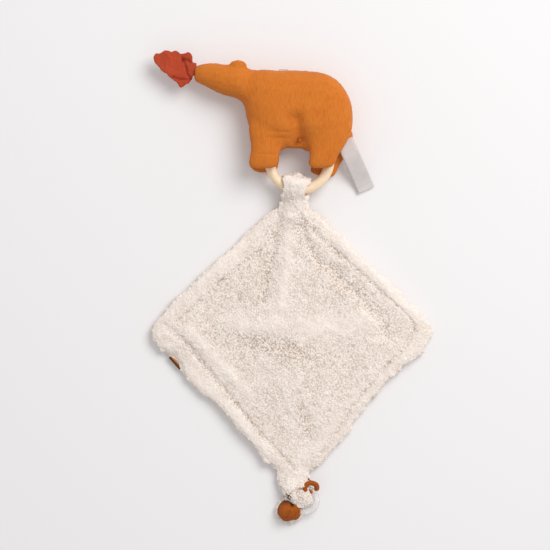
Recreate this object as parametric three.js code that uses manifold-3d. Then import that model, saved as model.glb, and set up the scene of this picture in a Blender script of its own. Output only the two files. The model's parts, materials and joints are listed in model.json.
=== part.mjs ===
// A comfort blanket: a stuffed polar bear on its side, a wooden ring through its belly, and a small sherpa blanket
// whose top corner is looped round the ring. Its bottom corner is knotted and holds a clear pacifier ring.
// Millimetres, +Z up. The blanket lies on its flat back, and the origin is where its diagonals cross on that back.

import * as THREE from 'three';
import { mergeVertices } from 'three/addons/utils/BufferGeometryUtils.js';
import Module from 'manifold-3d';

const wasm = await Module();
wasm.setup();

// Fits
const seatGap = 0.3;
const ringClear = 0.5;

// Wooden ring
const ringRadius = 29.75;
const ringTube = 5.25;
const ringSteps = 64;
const ringSides = 14;
const waySteps = 32;
const waySides = 10;
const ringX = 7.4;

// Blanket, a kite whose side corners lie on the X axis
const blanketLeft = 145.4;
const blanketRight = 143.9;
const blanketUpper = 138;
const blanketLower = 160;
const cornerRound = 18;
const smallRound = 4;
const backCloth = 1.4;
const frontHeight = 13;
const borderWidth = 14;
const foldHeight = 1.6;
const foldCount = 7;
const neckInset = 15;
const neckHalfWidth = 16;
const neckRise = 6.2;
const neckRiseLength = 34;
const neckThickness = 5.4;
const hemHalfWidth = 12.5;
const hemX = 1;
const hemInset = 10;
const sideSteps = 9;
const roundSteps = 5;

// Corner loop round the ring
const loopNeck = 8.55;
const loopHalfWidth = 14.5;
const loopAside = -3.9;
const loopEndCloth = 7.45;
const loopSideCloth = 5.25;
const liningCloth = 1.3;
const loopClear = 0.8;
const loopLevelShare = 0.3;
const hingeGap = 0.7;

// Muslin cover and what it holds
const coverCloth = 1.6;
const pressGap = 0.35;

// Bear's torso
const torsoLength = 107.5;
const torsoHeight = 79;
const torsoDepth = 45.2;
const torsoAhead = 54.4;
const bellyAboveRing = 10.8;
const standFlat = 0.6;

// Belly stitch, and the dimple that it pulls in
const stitchThread = 0.9;
const stitchHole = 1.3;
const stitchKnot = 2;
const stitchAboveRing = 18.8;
const dimpleRadius = 9;
const dimpleDepth = 9;

// Bear's head and ears
const headLength = 60.5;
const headHeight = 43.4;
const headDepth = 35;
const headLift = 42.5;
const neckOverlap = 10;
const headSink = 2;
const earWidth = 18.5;
const earHeight = 9.4;
const earThickness = 7;
const earBack = 7.5;
const earSpread = 8.5;
const earSeat = 7;

// Bear's legs
const legLength = 58.5;
const legTopAbove = 38.5;
const farLegDepth = 13;
const nearLegDepth = 16.4;
const hindWidth = 45;
const hindInner = 7.5;
const frontWidth = 33;
const frontInner = 18;
const farLegAside = 2;
const farFrontDown = 3.5;
const farHindDown = 8.5;

// Leaf in the mouth
const leafLength = 39.7;
const leafHeight = 38.3;
const leafCloth = 1.1;
const leafDrop = 3.7;
const mouthGap = 0.95;

// Care label in the rear seam
const careWidth = 17.5;
const careLength = 54;
const careCloth = 0.8;
const careAhead = 44.6;
const careRootAbove = 8.6;
const careTurnDegrees = -65.5;
const careRootHeight = 18;
const careTipHeight = 2.5;
const careLevelShare = 0.25;
const careSteps = 12;

// Edge label
const edgeLabelLength = 16;
const edgeLabelShow = 3.6;
const edgeLabelCloth = 1.6;
const edgeLabelShare = 0.227;
const edgeLabelUpShare = 0.3;

// Knotted bottom corner and its ring
const pacifierRadius = 11.75;
const pacifierTube = 3.25;
const pacifierSteps = 36;
const pacifierSides = 10;
const pacifierAside = 12;
const pacifierBelowHem = 23;
const knotClear = 0.6;
const wrapHalfWidth = 15;
const wrapHeight = 17;
const wrapRiseShare = 0.45;
const tailHalfWidth = 12.2;
const tailHalfLength = 11;
const tailAside = 3.5;
const tailBelowHem = 33;
const tailHeight = 17;
const strapHalfWidth = 7.4;

// Places that follow from the sizes
const neckY = blanketUpper - neckInset;
const loopY = neckY + loopNeck + ringTube;
const loopRoom = ringTube + loopClear + liningCloth;
const farLegZ = farLegDepth / 2 - standFlat;
const ringZ = farLegZ + farLegDepth / 2 + seatGap + ringTube;
const ringY = loopY + ringRadius;
const nearLegZ = ringZ + ringTube + seatGap + nearLegDepth / 2;
const loopX = ringX + loopAside;
const hemY = hemInset - blanketLower;
const hemZ = backCloth + seatGap + neckThickness / 2;
const neckZ = neckRise + hemZ;
const torsoZ = torsoDepth / 2 - standFlat;
const bellyY = ringY + bellyAboveRing;
const torsoX = ringX - torsoAhead;
const headZ = torsoZ - headSink;
const headX = torsoX + neckOverlap;
const headY = bellyY + headLift;
const noseX = headX - headLength;
const pacifierX = hemX + pacifierAside;
const pacifierY = hemY - pacifierBelowHem;
const pacifierZ = strapHalfWidth + seatGap;

// Colours
const colours = {
  muslin: 0xd2793a,
  filling: 0xf4f1ea,
  leaf: 0xae432b,
  wood: 0xecd4b8,
  sherpa: 0xefe3d8,
  satin: 0xcfc7c1,
  clear: 0xe8e2dc,
  thread: 0x8a4a22,
};

// Triangles and solids

function signedVolume(points, faces) {
  let sum = 0;
  for (const [a, b, c] of faces) {
    sum += points[a].dot(points[b].clone().cross(points[c]));
  }
  return sum;
}

function geometryFrom(points, faces) {
  const outward = signedVolume(points, faces) > 0;
  const geometry = new THREE.BufferGeometry();
  geometry.setAttribute('position', new THREE.Float32BufferAttribute(points.flatMap((p) => p.toArray()), 3));
  geometry.setIndex(faces.flatMap(([a, b, c]) => (outward ? [a, b, c] : [a, c, b])));
  return geometry;
}

function middleOf(ring) {
  const middle = new THREE.Vector3();
  for (const p of ring) {
    middle.add(p);
  }
  return middle.divideScalar(ring.length);
}

// Joins rings of equal length into a skin, and closes both ends round the middle of the end rings.
function closedSkin(rings) {
  const around = rings[0].length;
  const points = [...rings.flat(), middleOf(rings[0]), middleOf(rings.at(-1))];
  const start = points.length - 2;
  const end = points.length - 1;
  const faces = [];
  for (let i = 0; i < around; i++) {
    const j = (i + 1) % around;
    for (let r = 0; r + 1 < rings.length; r++) {
      const here = r * around;
      const next = here + around;
      faces.push([here + i, here + j, next + j], [here + i, next + j, next + i]);
    }
    const last = (rings.length - 1) * around;
    faces.push([start, j, i], [end, last + i, last + j]);
  }
  return geometryFrom(points, faces);
}

function solidOf(geometry) {
  const bare = geometry.clone();
  bare.deleteAttribute('normal');
  bare.deleteAttribute('uv');
  const merged = mergeVertices(bare);
  return new wasm.Manifold(new wasm.Mesh({
    numProp: 3,
    vertProperties: Float32Array.from(merged.attributes.position.array),
    triVerts: Uint32Array.from(merged.index.array),
  }));
}

function geometryOf(solid) {
  const mesh = solid.getMesh();
  const geometry = new THREE.BufferGeometry();
  geometry.setAttribute('position', new THREE.BufferAttribute(Float32Array.from(mesh.vertProperties), 3));
  geometry.setIndex(new THREE.BufferAttribute(Uint32Array.from(mesh.triVerts), 1));
  return geometry;
}

function cut(solid, ...others) {
  return others.reduce((left, other) => left.subtract(other), solid);
}

function union(...solids) {
  return solids.reduce((sum, solid) => sum.add(solid));
}

// Resizes a form about the middle of its box, so that it loses the margin on each side. A negative margin grows it.
function inset(geometry, margin) {
  geometry.computeBoundingBox();
  const size = geometry.boundingBox.getSize(new THREE.Vector3());
  const middle = geometry.boundingBox.getCenter(new THREE.Vector3());
  const shrunk = geometry.clone();
  shrunk.translate(-middle.x, -middle.y, -middle.z);
  shrunk.scale(1 - 2 * margin / size.x, 1 - 2 * margin / size.y, 1 - 2 * margin / size.z);
  shrunk.translate(middle.x, middle.y, middle.z);
  return shrunk;
}

// A soft form: each section runs from one edge curve to the other, and swells up and down by its half depth.
function softForm({ edgeA, edgeB, halfDepths, sections, around, fullness = 2.4 }) {
  const a = new THREE.CatmullRomCurve3(edgeA);
  const b = new THREE.CatmullRomCurve3(edgeB);
  const d = new THREE.CatmullRomCurve3(halfDepths.map((depth, i) => new THREE.Vector3(i, depth, 0)));
  const swell = (share) => Math.sign(share) * Math.abs(share) ** (2 / fullness);
  const rings = [];
  for (let s = 1; s < sections; s++) {
    const t = (1 - Math.cos(Math.PI * s / sections)) / 4 + s / sections / 2;
    const from = a.getPoint(t);
    const to = b.getPoint(t);
    const middle = from.clone().lerp(to, 0.5);
    const half = to.clone().sub(middle);
    const depth = Math.max(d.getPoint(t).y, 0);
    const ring = [];
    for (let i = 0; i < around; i++) {
      const angle = 2 * Math.PI * i / around;
      const point = middle.clone().addScaledVector(half, swell(Math.cos(angle)));
      point.z += depth * swell(Math.sin(angle));
      ring.push(point);
    }
    rings.push(ring);
  }
  const geometry = closedSkin(rings);
  const position = geometry.attributes.position;
  const poles = [a.getPoint(0).lerp(b.getPoint(0), 0.5), a.getPoint(1).lerp(b.getPoint(1), 0.5)];
  poles.forEach((pole, i) => position.setXYZ(position.count - 2 + i, ...pole.toArray()));
  return geometry;
}

function torus(radius, tube, sides, steps, centre) {
  const geometry = new THREE.TorusGeometry(radius, tube, sides, steps);
  geometry.translate(...centre);
  return geometry;
}

function rod(radius, length, centre, sides = 8) {
  const geometry = new THREE.CylinderGeometry(radius, radius, length, sides);
  geometry.rotateX(Math.PI / 2);
  geometry.translate(...centre);
  return geometry;
}

function tableTop(size) {
  const geometry = new THREE.BoxGeometry(size, size, size);
  geometry.translate(0, 0, -size / 2);
  return geometry;
}

const model = new THREE.Group();

function addPiece(name, geometry, colour, roughness = 0.9, metalness = 0) {
  const material = new THREE.MeshStandardMaterial({ color: colour, roughness, metalness });
  const mesh = new THREE.Mesh(geometry, material);
  mesh.name = name;
  model.add(mesh);
}

const table = solidOf(tableTop(blanketRight * 4));

// Bear's soft forms

// Shares of the torso's length, and of its height above the belly: [along, back, belly, depth]
const torsoShares = [
  [0.0, 0.66, 0.66, 0],
  [0.012, 0.87, 0.42, 0.42],
  [0.05, 0.97, 0.25, 0.68],
  [0.16, 1.0, 0.1, 0.9],
  [0.33, 0.985, 0.01, 1],
  [0.56, 0.985, 0, 1],
  [0.74, 0.95, 0.03, 0.97],
  [0.86, 0.855, 0.07, 0.87],
  [0.94, 0.72, 0.13, 0.72],
  [0.985, 0.57, 0.22, 0.46],
  [1.0, 0.42, 0.42, 0],
];

function torsoForm() {
  const place = (along, up) => new THREE.Vector3(
    torsoX + along * torsoLength,
    bellyY + up * torsoHeight,
    torsoZ,
  );
  const geometry = softForm({
    edgeA: torsoShares.map(([along, back]) => place(along, back)),
    edgeB: torsoShares.map(([along, , belly]) => place(along, belly)),
    halfDepths: torsoShares.map(([, , , depth]) => depth * torsoDepth / 2),
    sections: 22,
    around: 16,
  });
  const position = geometry.attributes.position;
  const stitch = new THREE.Vector2(ringX, ringY + stitchAboveRing);
  for (let i = 0; i < position.count; i++) {
    const away = stitch.distanceTo(new THREE.Vector2(position.getX(i), position.getY(i)));
    const rise = position.getZ(i) - torsoZ;
    const pull = Math.min(dimpleDepth * Math.exp(-((away / dimpleRadius) ** 2)), Math.abs(rise) / 2);
    position.setZ(i, torsoZ + rise - Math.sign(rise) * pull);
  }
  return geometry;
}

// Shares of the head's length from the neck to the nose, and of its height: [along, top, throat, depth]
const headShares = [
  [0.0, 0.8, 0.12, 0.7],
  [0.16, 0.9, 0.06, 1],
  [0.29, 0.93, 0.18, 0.98],
  [0.45, 0.955, 0.23, 0.92],
  [0.61, 0.985, 0.31, 0.82],
  [0.77, 0.985, 0.41, 0.68],
  [0.9, 0.96, 0.51, 0.52],
  [0.97, 0.915, 0.555, 0.4],
  [0.993, 0.87, 0.59, 0.24],
  [1.0, 0.73, 0.73, 0],
];

function headForm() {
  const place = (along, up) => new THREE.Vector3(headX - along * headLength, headY + up * headHeight, headZ);
  return softForm({
    edgeA: headShares.map(([along, top]) => place(along, top)),
    edgeB: headShares.map(([along, , throat]) => place(along, throat)),
    halfDepths: headShares.map(([, , , depth]) => depth * headDepth / 2),
    sections: 16,
    around: 14,
    fullness: 2.2,
  });
}

// Shares of an ear's height and width: [up, half width, thickness]
const earShares = [
  [0.0, 0.5, 1],
  [0.45, 0.5, 0.95],
  [0.74, 0.42, 0.78],
  [0.92, 0.25, 0.5],
  [1.0, 0, 0],
];

function earForm(side) {
  const baseX = headX - earBack;
  const baseY = headY + headHeight - earSeat;
  const z = headZ + side * earSpread;
  const place = (up, half) => new THREE.Vector3(baseX - earWidth * (0.5 + half), baseY + up * earHeight, z);
  return softForm({
    edgeA: earShares.map(([up, half]) => place(up, half)),
    edgeB: earShares.map(([up, half]) => place(up, -half)),
    halfDepths: earShares.map(([, , thickness]) => thickness * earThickness / 2),
    sections: 8,
    around: 10,
    fullness: 2,
  });
}

// Shares of a leg's length and width: [down, inner edge, outer edge, depth]
const hindShares = [
  [0.0, 0.19, 0.81, 0.6],
  [0.28, 0, 1, 0.95],
  [0.45, 0.02, 0.945, 1],
  [0.62, 0.045, 0.83, 1],
  [0.78, 0.045, 0.69, 0.97],
  [0.9, 0.02, 0.625, 0.86],
  [0.975, 0.05, 0.56, 0.6],
  [1.0, 0.3, 0.3, 0],
];
const foreShares = [
  [0.0, 0.12, 0.85, 0.6],
  [0.28, 0, 1, 0.95],
  [0.45, 0.015, 0.955, 1],
  [0.62, 0.03, 0.91, 1],
  [0.78, 0.06, 0.955, 0.97],
  [0.9, 0.085, 1, 0.86],
  [0.975, 0.14, 0.95, 0.6],
  [1.0, 0.55, 0.55, 0],
];

function legForm(shares, innerX, width, depth, z, down) {
  const topY = bellyY + legTopAbove;
  const place = (along, across) => new THREE.Vector3(innerX + across * width, topY - along * legLength - down, z);
  return softForm({
    edgeA: shares.map(([along, inner]) => place(along, inner)),
    edgeB: shares.map(([along, , outer]) => place(along, outer)),
    halfDepths: shares.map(([, , , share]) => share * depth / 2),
    sections: 12,
    around: 12,
  });
}

const legForms = {
  near_front_leg: legForm(foreShares, ringX - frontInner, -frontWidth, nearLegDepth, nearLegZ, 0),
  near_hind_leg: legForm(hindShares, ringX + hindInner, hindWidth, nearLegDepth, nearLegZ, 0),
  far_front_leg: legForm(foreShares, ringX - frontInner, -frontWidth, farLegDepth, farLegZ, farFrontDown),
  far_hind_leg: legForm(hindShares, ringX + hindInner + farLegAside, hindWidth, farLegDepth, farLegZ, farHindDown),
};

// The ring's way through what it passes. The flats of its few sides keep the given margin round the ring.
function ringWay(margin) {
  const tube = (ringTube + margin) / Math.cos(Math.PI / waySides);
  return solidOf(torus(ringRadius, tube, waySides, waySteps, [ringX, ringY, ringZ]));
}

function stitchWay(radius) {
  return solidOf(rod(radius, torsoDepth * 2, [ringX, ringY + stitchAboveRing, torsoZ]));
}

function buildBear() {
  const torso = torsoForm();
  const head = headForm();
  const torsoSolid = solidOf(torso);
  const torsoRoom = solidOf(inset(torso, coverCloth));
  const torsoKeepOut = solidOf(inset(torso, -seatGap));
  const headRoom = solidOf(inset(head, coverCloth));
  const headKeepOut = solidOf(inset(head, -seatGap));
  const legs = Object.entries(legForms);
  const legRooms = legs.map(([, form]) => solidOf(inset(form, coverCloth)));
  const lined = cut(torsoRoom, ringWay(ringClear + coverCloth));

  const torsoCover = cut(torsoSolid, lined, headRoom, ...legRooms, ringWay(ringClear), stitchWay(stitchHole), table);
  addPiece('torso_cover', geometryOf(torsoCover), colours.muslin);

  const headCover = cut(solidOf(head), headRoom, torsoKeepOut, table);
  addPiece('head_cover', geometryOf(headCover), colours.muslin);

  for (const [name, side] of [['near_ear', 1], ['far_ear', -1]]) {
    addPiece(name, geometryOf(cut(solidOf(earForm(side)), headKeepOut, torsoKeepOut)), colours.muslin);
  }
  legs.forEach(([name, form], i) => {
    addPiece(name, geometryOf(cut(solidOf(form), legRooms[i], torsoKeepOut, table)), colours.muslin);
  });

  const packed = union(
    solidOf(inset(torso, coverCloth + pressGap)),
    solidOf(inset(head, coverCloth + pressGap)),
    ...legs.map(([, form]) => solidOf(inset(form, coverCloth + pressGap))),
  );
  const filling = cut(packed, ringWay(ringClear + coverCloth + pressGap), stitchWay(stitchHole));
  addPiece('filling', geometryOf(filling), colours.filling, 1);
}

function buildBellyStitch() {
  const y = ringY + stitchAboveRing;
  const reach = torsoDepth / 2 - dimpleDepth;
  const thread = solidOf(rod(stitchThread, reach * 2, [ringX, y, torsoZ]));
  const knots = [-1, 1].map((side) => {
    const knot = new THREE.SphereGeometry(stitchKnot, 10, 6);
    knot.translate(ringX, y, torsoZ + side * reach);
    return solidOf(knot);
  });
  addPiece('belly_stitch', geometryOf(union(thread, ...knots)), colours.thread);
}

function buildWoodenRing() {
  const ring = torus(ringRadius, ringTube, ringSides, ringSteps, [ringX, ringY, ringZ]);
  addPiece('wooden_ring', geometryOf(solidOf(ring)), colours.wood, 0.55);
}

// Leaf, from the lower end of its seam at the mouth: shares of its length and of its height
const leafShares = [
  [0.03, 0.21],
  [0, 0.36],
  [0, 0.62],
  [0.018, 0.835],
  [0.093, 0.945],
  [0.194, 0.91],
  [0.295, 0.89],
  [0.395, 0.96],
  [0.547, 0.96],
  [0.66, 1.0],
  [0.773, 0.927],
  [0.924, 0.86],
  [1.0, 0.783],
  [0.95, 0.68],
  [0.861, 0.548],
  [0.8, 0.444],
  [0.672, 0.4],
  [0.584, 0.26],
  [0.433, 0.183],
  [0.37, 0.05],
  [0.295, 0.0],
  [0.18, 0.09],
];

function leafShape() {
  const corners = leafShares.map(([along, up]) => new THREE.Vector2(
    noseX - mouthGap - along * leafLength,
    headY + headHeight / 2 - leafDrop + up * leafHeight,
  ));
  const shape = new THREE.Shape();
  shape.moveTo(corners[0].x, corners[0].y);
  shape.lineTo(corners[1].x, corners[1].y);
  shape.lineTo(corners[2].x, corners[2].y);
  shape.splineThru(corners.slice(3));
  shape.closePath();
  return shape;
}

function buildLeaf() {
  for (const [name, side] of [['leaf_front', 1], ['leaf_back', -1]]) {
    const panel = new THREE.ExtrudeGeometry(leafShape(), { depth: leafCloth, bevelEnabled: false, curveSegments: 2 });
    panel.translate(0, 0, headZ - leafCloth / 2 + side * (leafCloth + seatGap) / 2);
    addPiece(name, geometryOf(solidOf(panel)), colours.leaf);
  }
}

// The label leaves the seam level, and droops to the table between the legs.
function buildCareLabel() {
  const turn = THREE.MathUtils.degToRad(careTurnDegrees);
  const along = new THREE.Vector3(Math.cos(turn), Math.sin(turn), 0);
  const across = new THREE.Vector3(-along.y, along.x, 0).multiplyScalar(careWidth / 2);
  const root = new THREE.Vector3(ringX + careAhead, bellyY + careRootAbove, careRootHeight);
  const rings = [];
  for (let i = 0; i <= careSteps; i++) {
    const share = i / careSteps;
    const middle = root.clone().addScaledVector(along, share * careLength);
    middle.z -= (careRootHeight - careTipHeight) * THREE.MathUtils.smoothstep(share, careLevelShare, 1);
    const up = new THREE.Vector3(0, 0, careCloth / 2);
    rings.push([[1, 1], [-1, 1], [-1, -1], [1, -1]].map(([side, face]) => (
      middle.clone().addScaledVector(across, side).addScaledVector(up, face)
    )));
  }
  addPiece('care_label', closedSkin(rings), colours.satin, 0.45);
}

// Shares of the corner loop: [from the ring's tube towards the ring's centre, half width, depth]
const loopShares = [
  [1.0, 0, 0],
  [0.95, 0.5, 0.42],
  [0.74, 0.88, 0.82],
  [0.3, 1, 1],
  [-0.45, 0.98, 0.92],
  [-0.8, 0.97, 0.6],
  [-1.0, 0.96, 0.26],
];

function loopForm() {
  const bottom = neckY + hingeGap;
  const place = ([reach, half], side) => {
    const down = Math.max(-reach, 0);
    const top = loopY + reach * (loopRoom + loopEndCloth);
    const y = reach > 0 ? top : THREE.MathUtils.lerp(loopY, bottom, down);
    const z = THREE.MathUtils.lerp(ringZ, neckZ, THREE.MathUtils.smoothstep(down, loopLevelShare, 1));
    return new THREE.Vector3(loopX + side * half * loopHalfWidth, y, z);
  };
  return softForm({
    edgeA: loopShares.map((row) => place(row, -1)),
    edgeB: loopShares.map((row) => place(row, 1)),
    halfDepths: loopShares.map(([, , depth]) => depth * (loopRoom + loopSideCloth)),
    sections: 15,
    around: 16,
    fullness: 2.3,
  });
}

function buildCornerLoop() {
  const loop = loopForm();
  const turnedIn = solidOf(inset(loop, liningCloth));
  const lining = ringWay(loopClear + liningCloth).subtract(ringWay(loopClear)).intersect(turnedIn);
  addPiece('corner_loop_lining', geometryOf(lining), colours.muslin);
  addPiece('corner_loop', geometryOf(cut(solidOf(loop), ringWay(loopClear + liningCloth + seatGap))), colours.sherpa);
}

// Blanket

// Points along the sides between the corners, each corner rounded off in its own number of steps
function roundedOutline(corners) {
  const rounds = corners.map(([x, y, round, steps], i) => {
    const corner = new THREE.Vector2(x, y);
    const [before, after] = [corners.at(i - 1), corners[(i + 1) % corners.length]].map(([nextX, nextY]) => {
      const next = new THREE.Vector2(nextX, nextY);
      return corner.clone().add(next.sub(corner).setLength(round));
    });
    return new THREE.QuadraticBezierCurve(before, corner, after).getPoints(steps);
  });
  return rounds.flatMap((points, i) => {
    const next = rounds[(i + 1) % rounds.length][0];
    const steps = Math.round(sideSteps * points.at(-1).distanceTo(next) / blanketUpper);
    const side = new THREE.LineCurve(points.at(-1), next).getPoints(Math.max(steps, 1)).slice(1, -1);
    return [...points, ...side];
  });
}

function blanketOutline() {
  return roundedOutline([
    [-neckHalfWidth, neckY, smallRound, 1],
    [-blanketLeft, 0, cornerRound, roundSteps],
    [hemX - hemHalfWidth, hemY, smallRound, 1],
    [hemX + hemHalfWidth, hemY, smallRound, 1],
    [blanketRight, 0, cornerRound, roundSteps],
    [neckHalfWidth, neckY, smallRound, 1],
  ]);
}

// How far the cloth has risen towards the neck
function neckLift(y) {
  return neckRise * THREE.MathUtils.smoothstep(y, neckY - neckRiseLength, neckY);
}

// Height of the folds that fan out from the neck
function foldsAt(x, y) {
  const down = neckY - y;
  const reach = Math.hypot(x - loopX, down);
  const fan = Math.cos(foldCount * 2 * Math.atan2(x - loopX, down));
  const near = THREE.MathUtils.smoothstep(reach, 0, neckRiseLength);
  const fade = 1 - THREE.MathUtils.smoothstep(reach, neckRiseLength * 2, blanketUpper + neckRiseLength);
  return foldHeight * fan * near * fade;
}

// Rings of a blanket panel, as [how far inside the edge, height] rows from the middle of one face to the other's
function panelSkin(rows, heightAt) {
  const outline = blanketOutline();
  const reach = blanketRight * blanketUpper / Math.hypot(blanketRight, blanketUpper);
  return closedSkin(rows.map(([inside, share]) => outline.map((p) => {
    const scale = 1 - inside / reach;
    const x = p.x * scale;
    const y = p.y * scale;
    return new THREE.Vector3(x, y, heightAt(x, y, share));
  })));
}

// Where the rings of both panels lie, from the middle outwards, in shares of the border's width
const facingShares = [4, 2, 1, 0.3];

function buildBlanketBack() {
  const facing = facingShares.map((share) => share * borderWidth);
  const rows = [
    ...facing.map((inside) => [inside, 1]),
    [facing.at(-1) - backCloth, 0.5],
    ...facing.toReversed().map((inside) => [inside, 0]),
  ];
  const skin = panelSkin(rows, (x, y, share) => share * backCloth + neckLift(y));
  addPiece('blanket_back', skin, colours.muslin);
}

// Shares of the border's width, of the front's height, and of the folds' height, from the edge to the middle
const frontShares = [
  [0, 0.3, 0],
  [0.1, 0.72, 0],
  [0.34, 0.97, 0],
  [0.66, 0.96, 0],
  [1, 0.8, 0],
  [1.35, 0.85, 0.6],
  [2, 0.89, 1],
  [3.2, 0.9, 1],
  [4.6, 0.9, 1],
  [6.2, 0.9, 0.6],
];

function buildBlanketFront() {
  const bottom = backCloth + seatGap;
  const rows = [...facingShares.map((share) => [share, 0, 0]), ...frontShares].map(
    ([inside, height, folds]) => [inside * borderWidth, { height, folds }],
  );
  const skin = panelSkin(rows, (x, y, { height, folds }) => {
    const atNeck = THREE.MathUtils.smoothstep(y, neckY - neckRiseLength, neckY);
    const atHem = THREE.MathUtils.smoothstep(-y, -hemY - neckRiseLength / 2, -hemY);
    const squeeze = Math.max(atNeck, atHem);
    const thickness = THREE.MathUtils.lerp(frontHeight - bottom, neckThickness, squeeze);
    return bottom + neckLift(y) + height * thickness + folds * foldsAt(x, y);
  });
  addPiece('blanket_front', skin, colours.sherpa);
}

function buildEdgeLabel() {
  const edge = new THREE.Vector2(-blanketLeft - hemX + hemHalfWidth, -hemY).normalize();
  const turn = Math.atan2(hemY, blanketLeft + hemX - hemHalfWidth);
  const label = new THREE.BoxGeometry(edgeLabelLength, edgeLabelShow, edgeLabelCloth);
  label.rotateZ(turn);
  const x = THREE.MathUtils.lerp(-blanketLeft, hemX - hemHalfWidth, edgeLabelShare);
  const y = hemY * edgeLabelShare;
  const out = edgeLabelShow / 2 + seatGap;
  const z = backCloth + seatGap + (frontHeight - backCloth) * edgeLabelUpShare;
  label.translate(x - edge.y * out, y + edge.x * out, z);
  addPiece('edge_label', label, colours.thread);
}

// Knotted corner

function pacifierWay(margin) {
  const centre = [pacifierX, pacifierY, pacifierZ];
  return solidOf(torus(pacifierRadius, pacifierTube + margin, pacifierSides, pacifierSteps, centre));
}

// Shares of the way from the hem to the middle of the clear ring: [along, left half, right half, depth, turn]
const wrapShares = [
  [0, 0.82, 0.82, 0.3, 0],
  [0.16, 0.96, 0.84, 0.62, 0.1],
  [0.42, 1.12, 0.76, 0.96, 0.4],
  [0.7, 1.06, 0.66, 1, 0.75],
  [0.98, 0.76, 0.62, 0.86, 1],
  [1.2, 0.42, 0.42, 0.56, 1],
  [1.3, 0, 0, 0, 1],
];

function wrapForm() {
  const start = new THREE.Vector3(hemX, hemY - seatGap, hemZ);
  const end = new THREE.Vector3(pacifierX, pacifierY, hemZ);
  const turned = Math.atan2(end.y - start.y, end.x - start.x) + Math.PI / 2;
  const place = ([along, left, right, , turn], side) => {
    const point = start.clone().lerp(end, along);
    const half = (side < 0 ? left : right) * wrapHalfWidth;
    point.x += side * half * Math.cos(turn * turned);
    point.y += side * half * Math.sin(turn * turned);
    point.z += (wrapHeight / 2 - hemZ) * THREE.MathUtils.smoothstep(along, 0, wrapRiseShare);
    return point;
  };
  return softForm({
    edgeA: wrapShares.map((row) => place(row, -1)),
    edgeB: wrapShares.map((row) => place(row, 1)),
    halfDepths: wrapShares.map(([, , , depth]) => depth * wrapHeight / 2),
    sections: 12,
    around: 14,
  });
}

// Shares of the tail's half width, half length and depth: [along, half length, depth], waisted between two lobes
const tailShares = [
  [-1.0, 0, 0],
  [-0.86, 0.5, 0.5],
  [-0.35, 1, 1],
  [0.2, 0.86, 0.84],
  [0.6, 0.84, 0.8],
  [0.9, 0.46, 0.46],
  [1.0, 0, 0],
];

function tailForm() {
  const centre = new THREE.Vector3(hemX - tailAside, hemY - tailBelowHem, tailHeight / 2 - standFlat);
  const place = ([along, half], side) => new THREE.Vector3(
    centre.x + along * tailHalfWidth,
    centre.y + side * half * tailHalfLength,
    centre.z,
  );
  return softForm({
    edgeA: tailShares.map((row) => place(row, -1)),
    edgeB: tailShares.map((row) => place(row, 1)),
    halfDepths: tailShares.map(([, , depth]) => depth * tailHeight / 2),
    sections: 12,
    around: 12,
    fullness: 2,
  });
}

// The strap is a short sleeve round the clear ring. Shares of a half turn from the X axis, and of its half width
const strapShares = [
  [0.2, 0.9],
  [0.24, 1],
  [0.34, 1],
  [0.46, 0.92],
  [0.6, 0.6],
];

function strapForm() {
  const place = ([turn, half], side) => {
    const radius = pacifierRadius + side * half * strapHalfWidth;
    const angle = Math.PI * turn;
    return new THREE.Vector3(
      pacifierX + radius * Math.cos(angle),
      pacifierY + radius * Math.sin(angle),
      pacifierZ,
    );
  };
  return softForm({
    edgeA: strapShares.map((row) => place(row, -1)),
    edgeB: strapShares.map((row) => place(row, 1)),
    halfDepths: strapShares.map(([, half]) => half * strapHalfWidth),
    sections: 10,
    around: 12,
    fullness: 2,
  });
}

function buildKnot() {
  const wrap = wrapForm();
  const tail = tailForm();
  const wrapSolid = solidOf(wrap);
  const wrapKeepOut = solidOf(inset(wrap, -seatGap));
  const tailKeepOut = solidOf(inset(tail, -seatGap));
  const ringRoom = pacifierWay(knotClear);
  addPiece('knot_wrap', geometryOf(cut(wrapSolid, ringRoom, table)), colours.sherpa);
  addPiece('knot_tail', geometryOf(cut(solidOf(tail), wrapKeepOut, ringRoom, table)), colours.muslin);
  addPiece('knot_strap', geometryOf(cut(solidOf(strapForm()), wrapKeepOut, tailKeepOut, ringRoom)), colours.muslin);
  addPiece('pacifier_ring', geometryOf(pacifierWay(0)), colours.clear, 0.15);
}

buildBear();
buildBellyStitch();
buildWoodenRing();
buildLeaf();
buildCareLabel();
buildCornerLoop();
buildBlanketBack();
buildBlanketFront();
buildEdgeLabel();
buildKnot();

export default model;
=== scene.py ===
import json
import math

import bmesh
import bpy
import numpy as np
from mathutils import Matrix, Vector


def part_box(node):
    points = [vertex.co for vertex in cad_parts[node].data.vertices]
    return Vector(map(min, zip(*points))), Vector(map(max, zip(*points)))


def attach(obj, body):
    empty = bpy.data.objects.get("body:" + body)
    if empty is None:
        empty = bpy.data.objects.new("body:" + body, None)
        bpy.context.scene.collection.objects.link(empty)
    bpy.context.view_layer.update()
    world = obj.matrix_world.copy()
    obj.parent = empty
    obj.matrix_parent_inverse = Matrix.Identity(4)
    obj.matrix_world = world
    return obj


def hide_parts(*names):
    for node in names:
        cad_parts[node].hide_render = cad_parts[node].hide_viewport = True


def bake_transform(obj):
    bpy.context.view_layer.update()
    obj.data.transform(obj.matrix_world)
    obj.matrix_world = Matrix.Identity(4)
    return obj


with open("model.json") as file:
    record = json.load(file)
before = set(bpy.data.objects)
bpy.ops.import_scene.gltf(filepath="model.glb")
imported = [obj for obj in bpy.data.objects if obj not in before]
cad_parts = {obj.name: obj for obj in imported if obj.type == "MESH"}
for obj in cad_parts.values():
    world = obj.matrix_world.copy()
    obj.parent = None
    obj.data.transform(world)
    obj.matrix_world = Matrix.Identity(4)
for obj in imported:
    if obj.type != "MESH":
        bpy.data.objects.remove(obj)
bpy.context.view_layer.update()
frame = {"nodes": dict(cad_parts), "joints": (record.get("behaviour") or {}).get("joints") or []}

MM = 0.001

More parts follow.
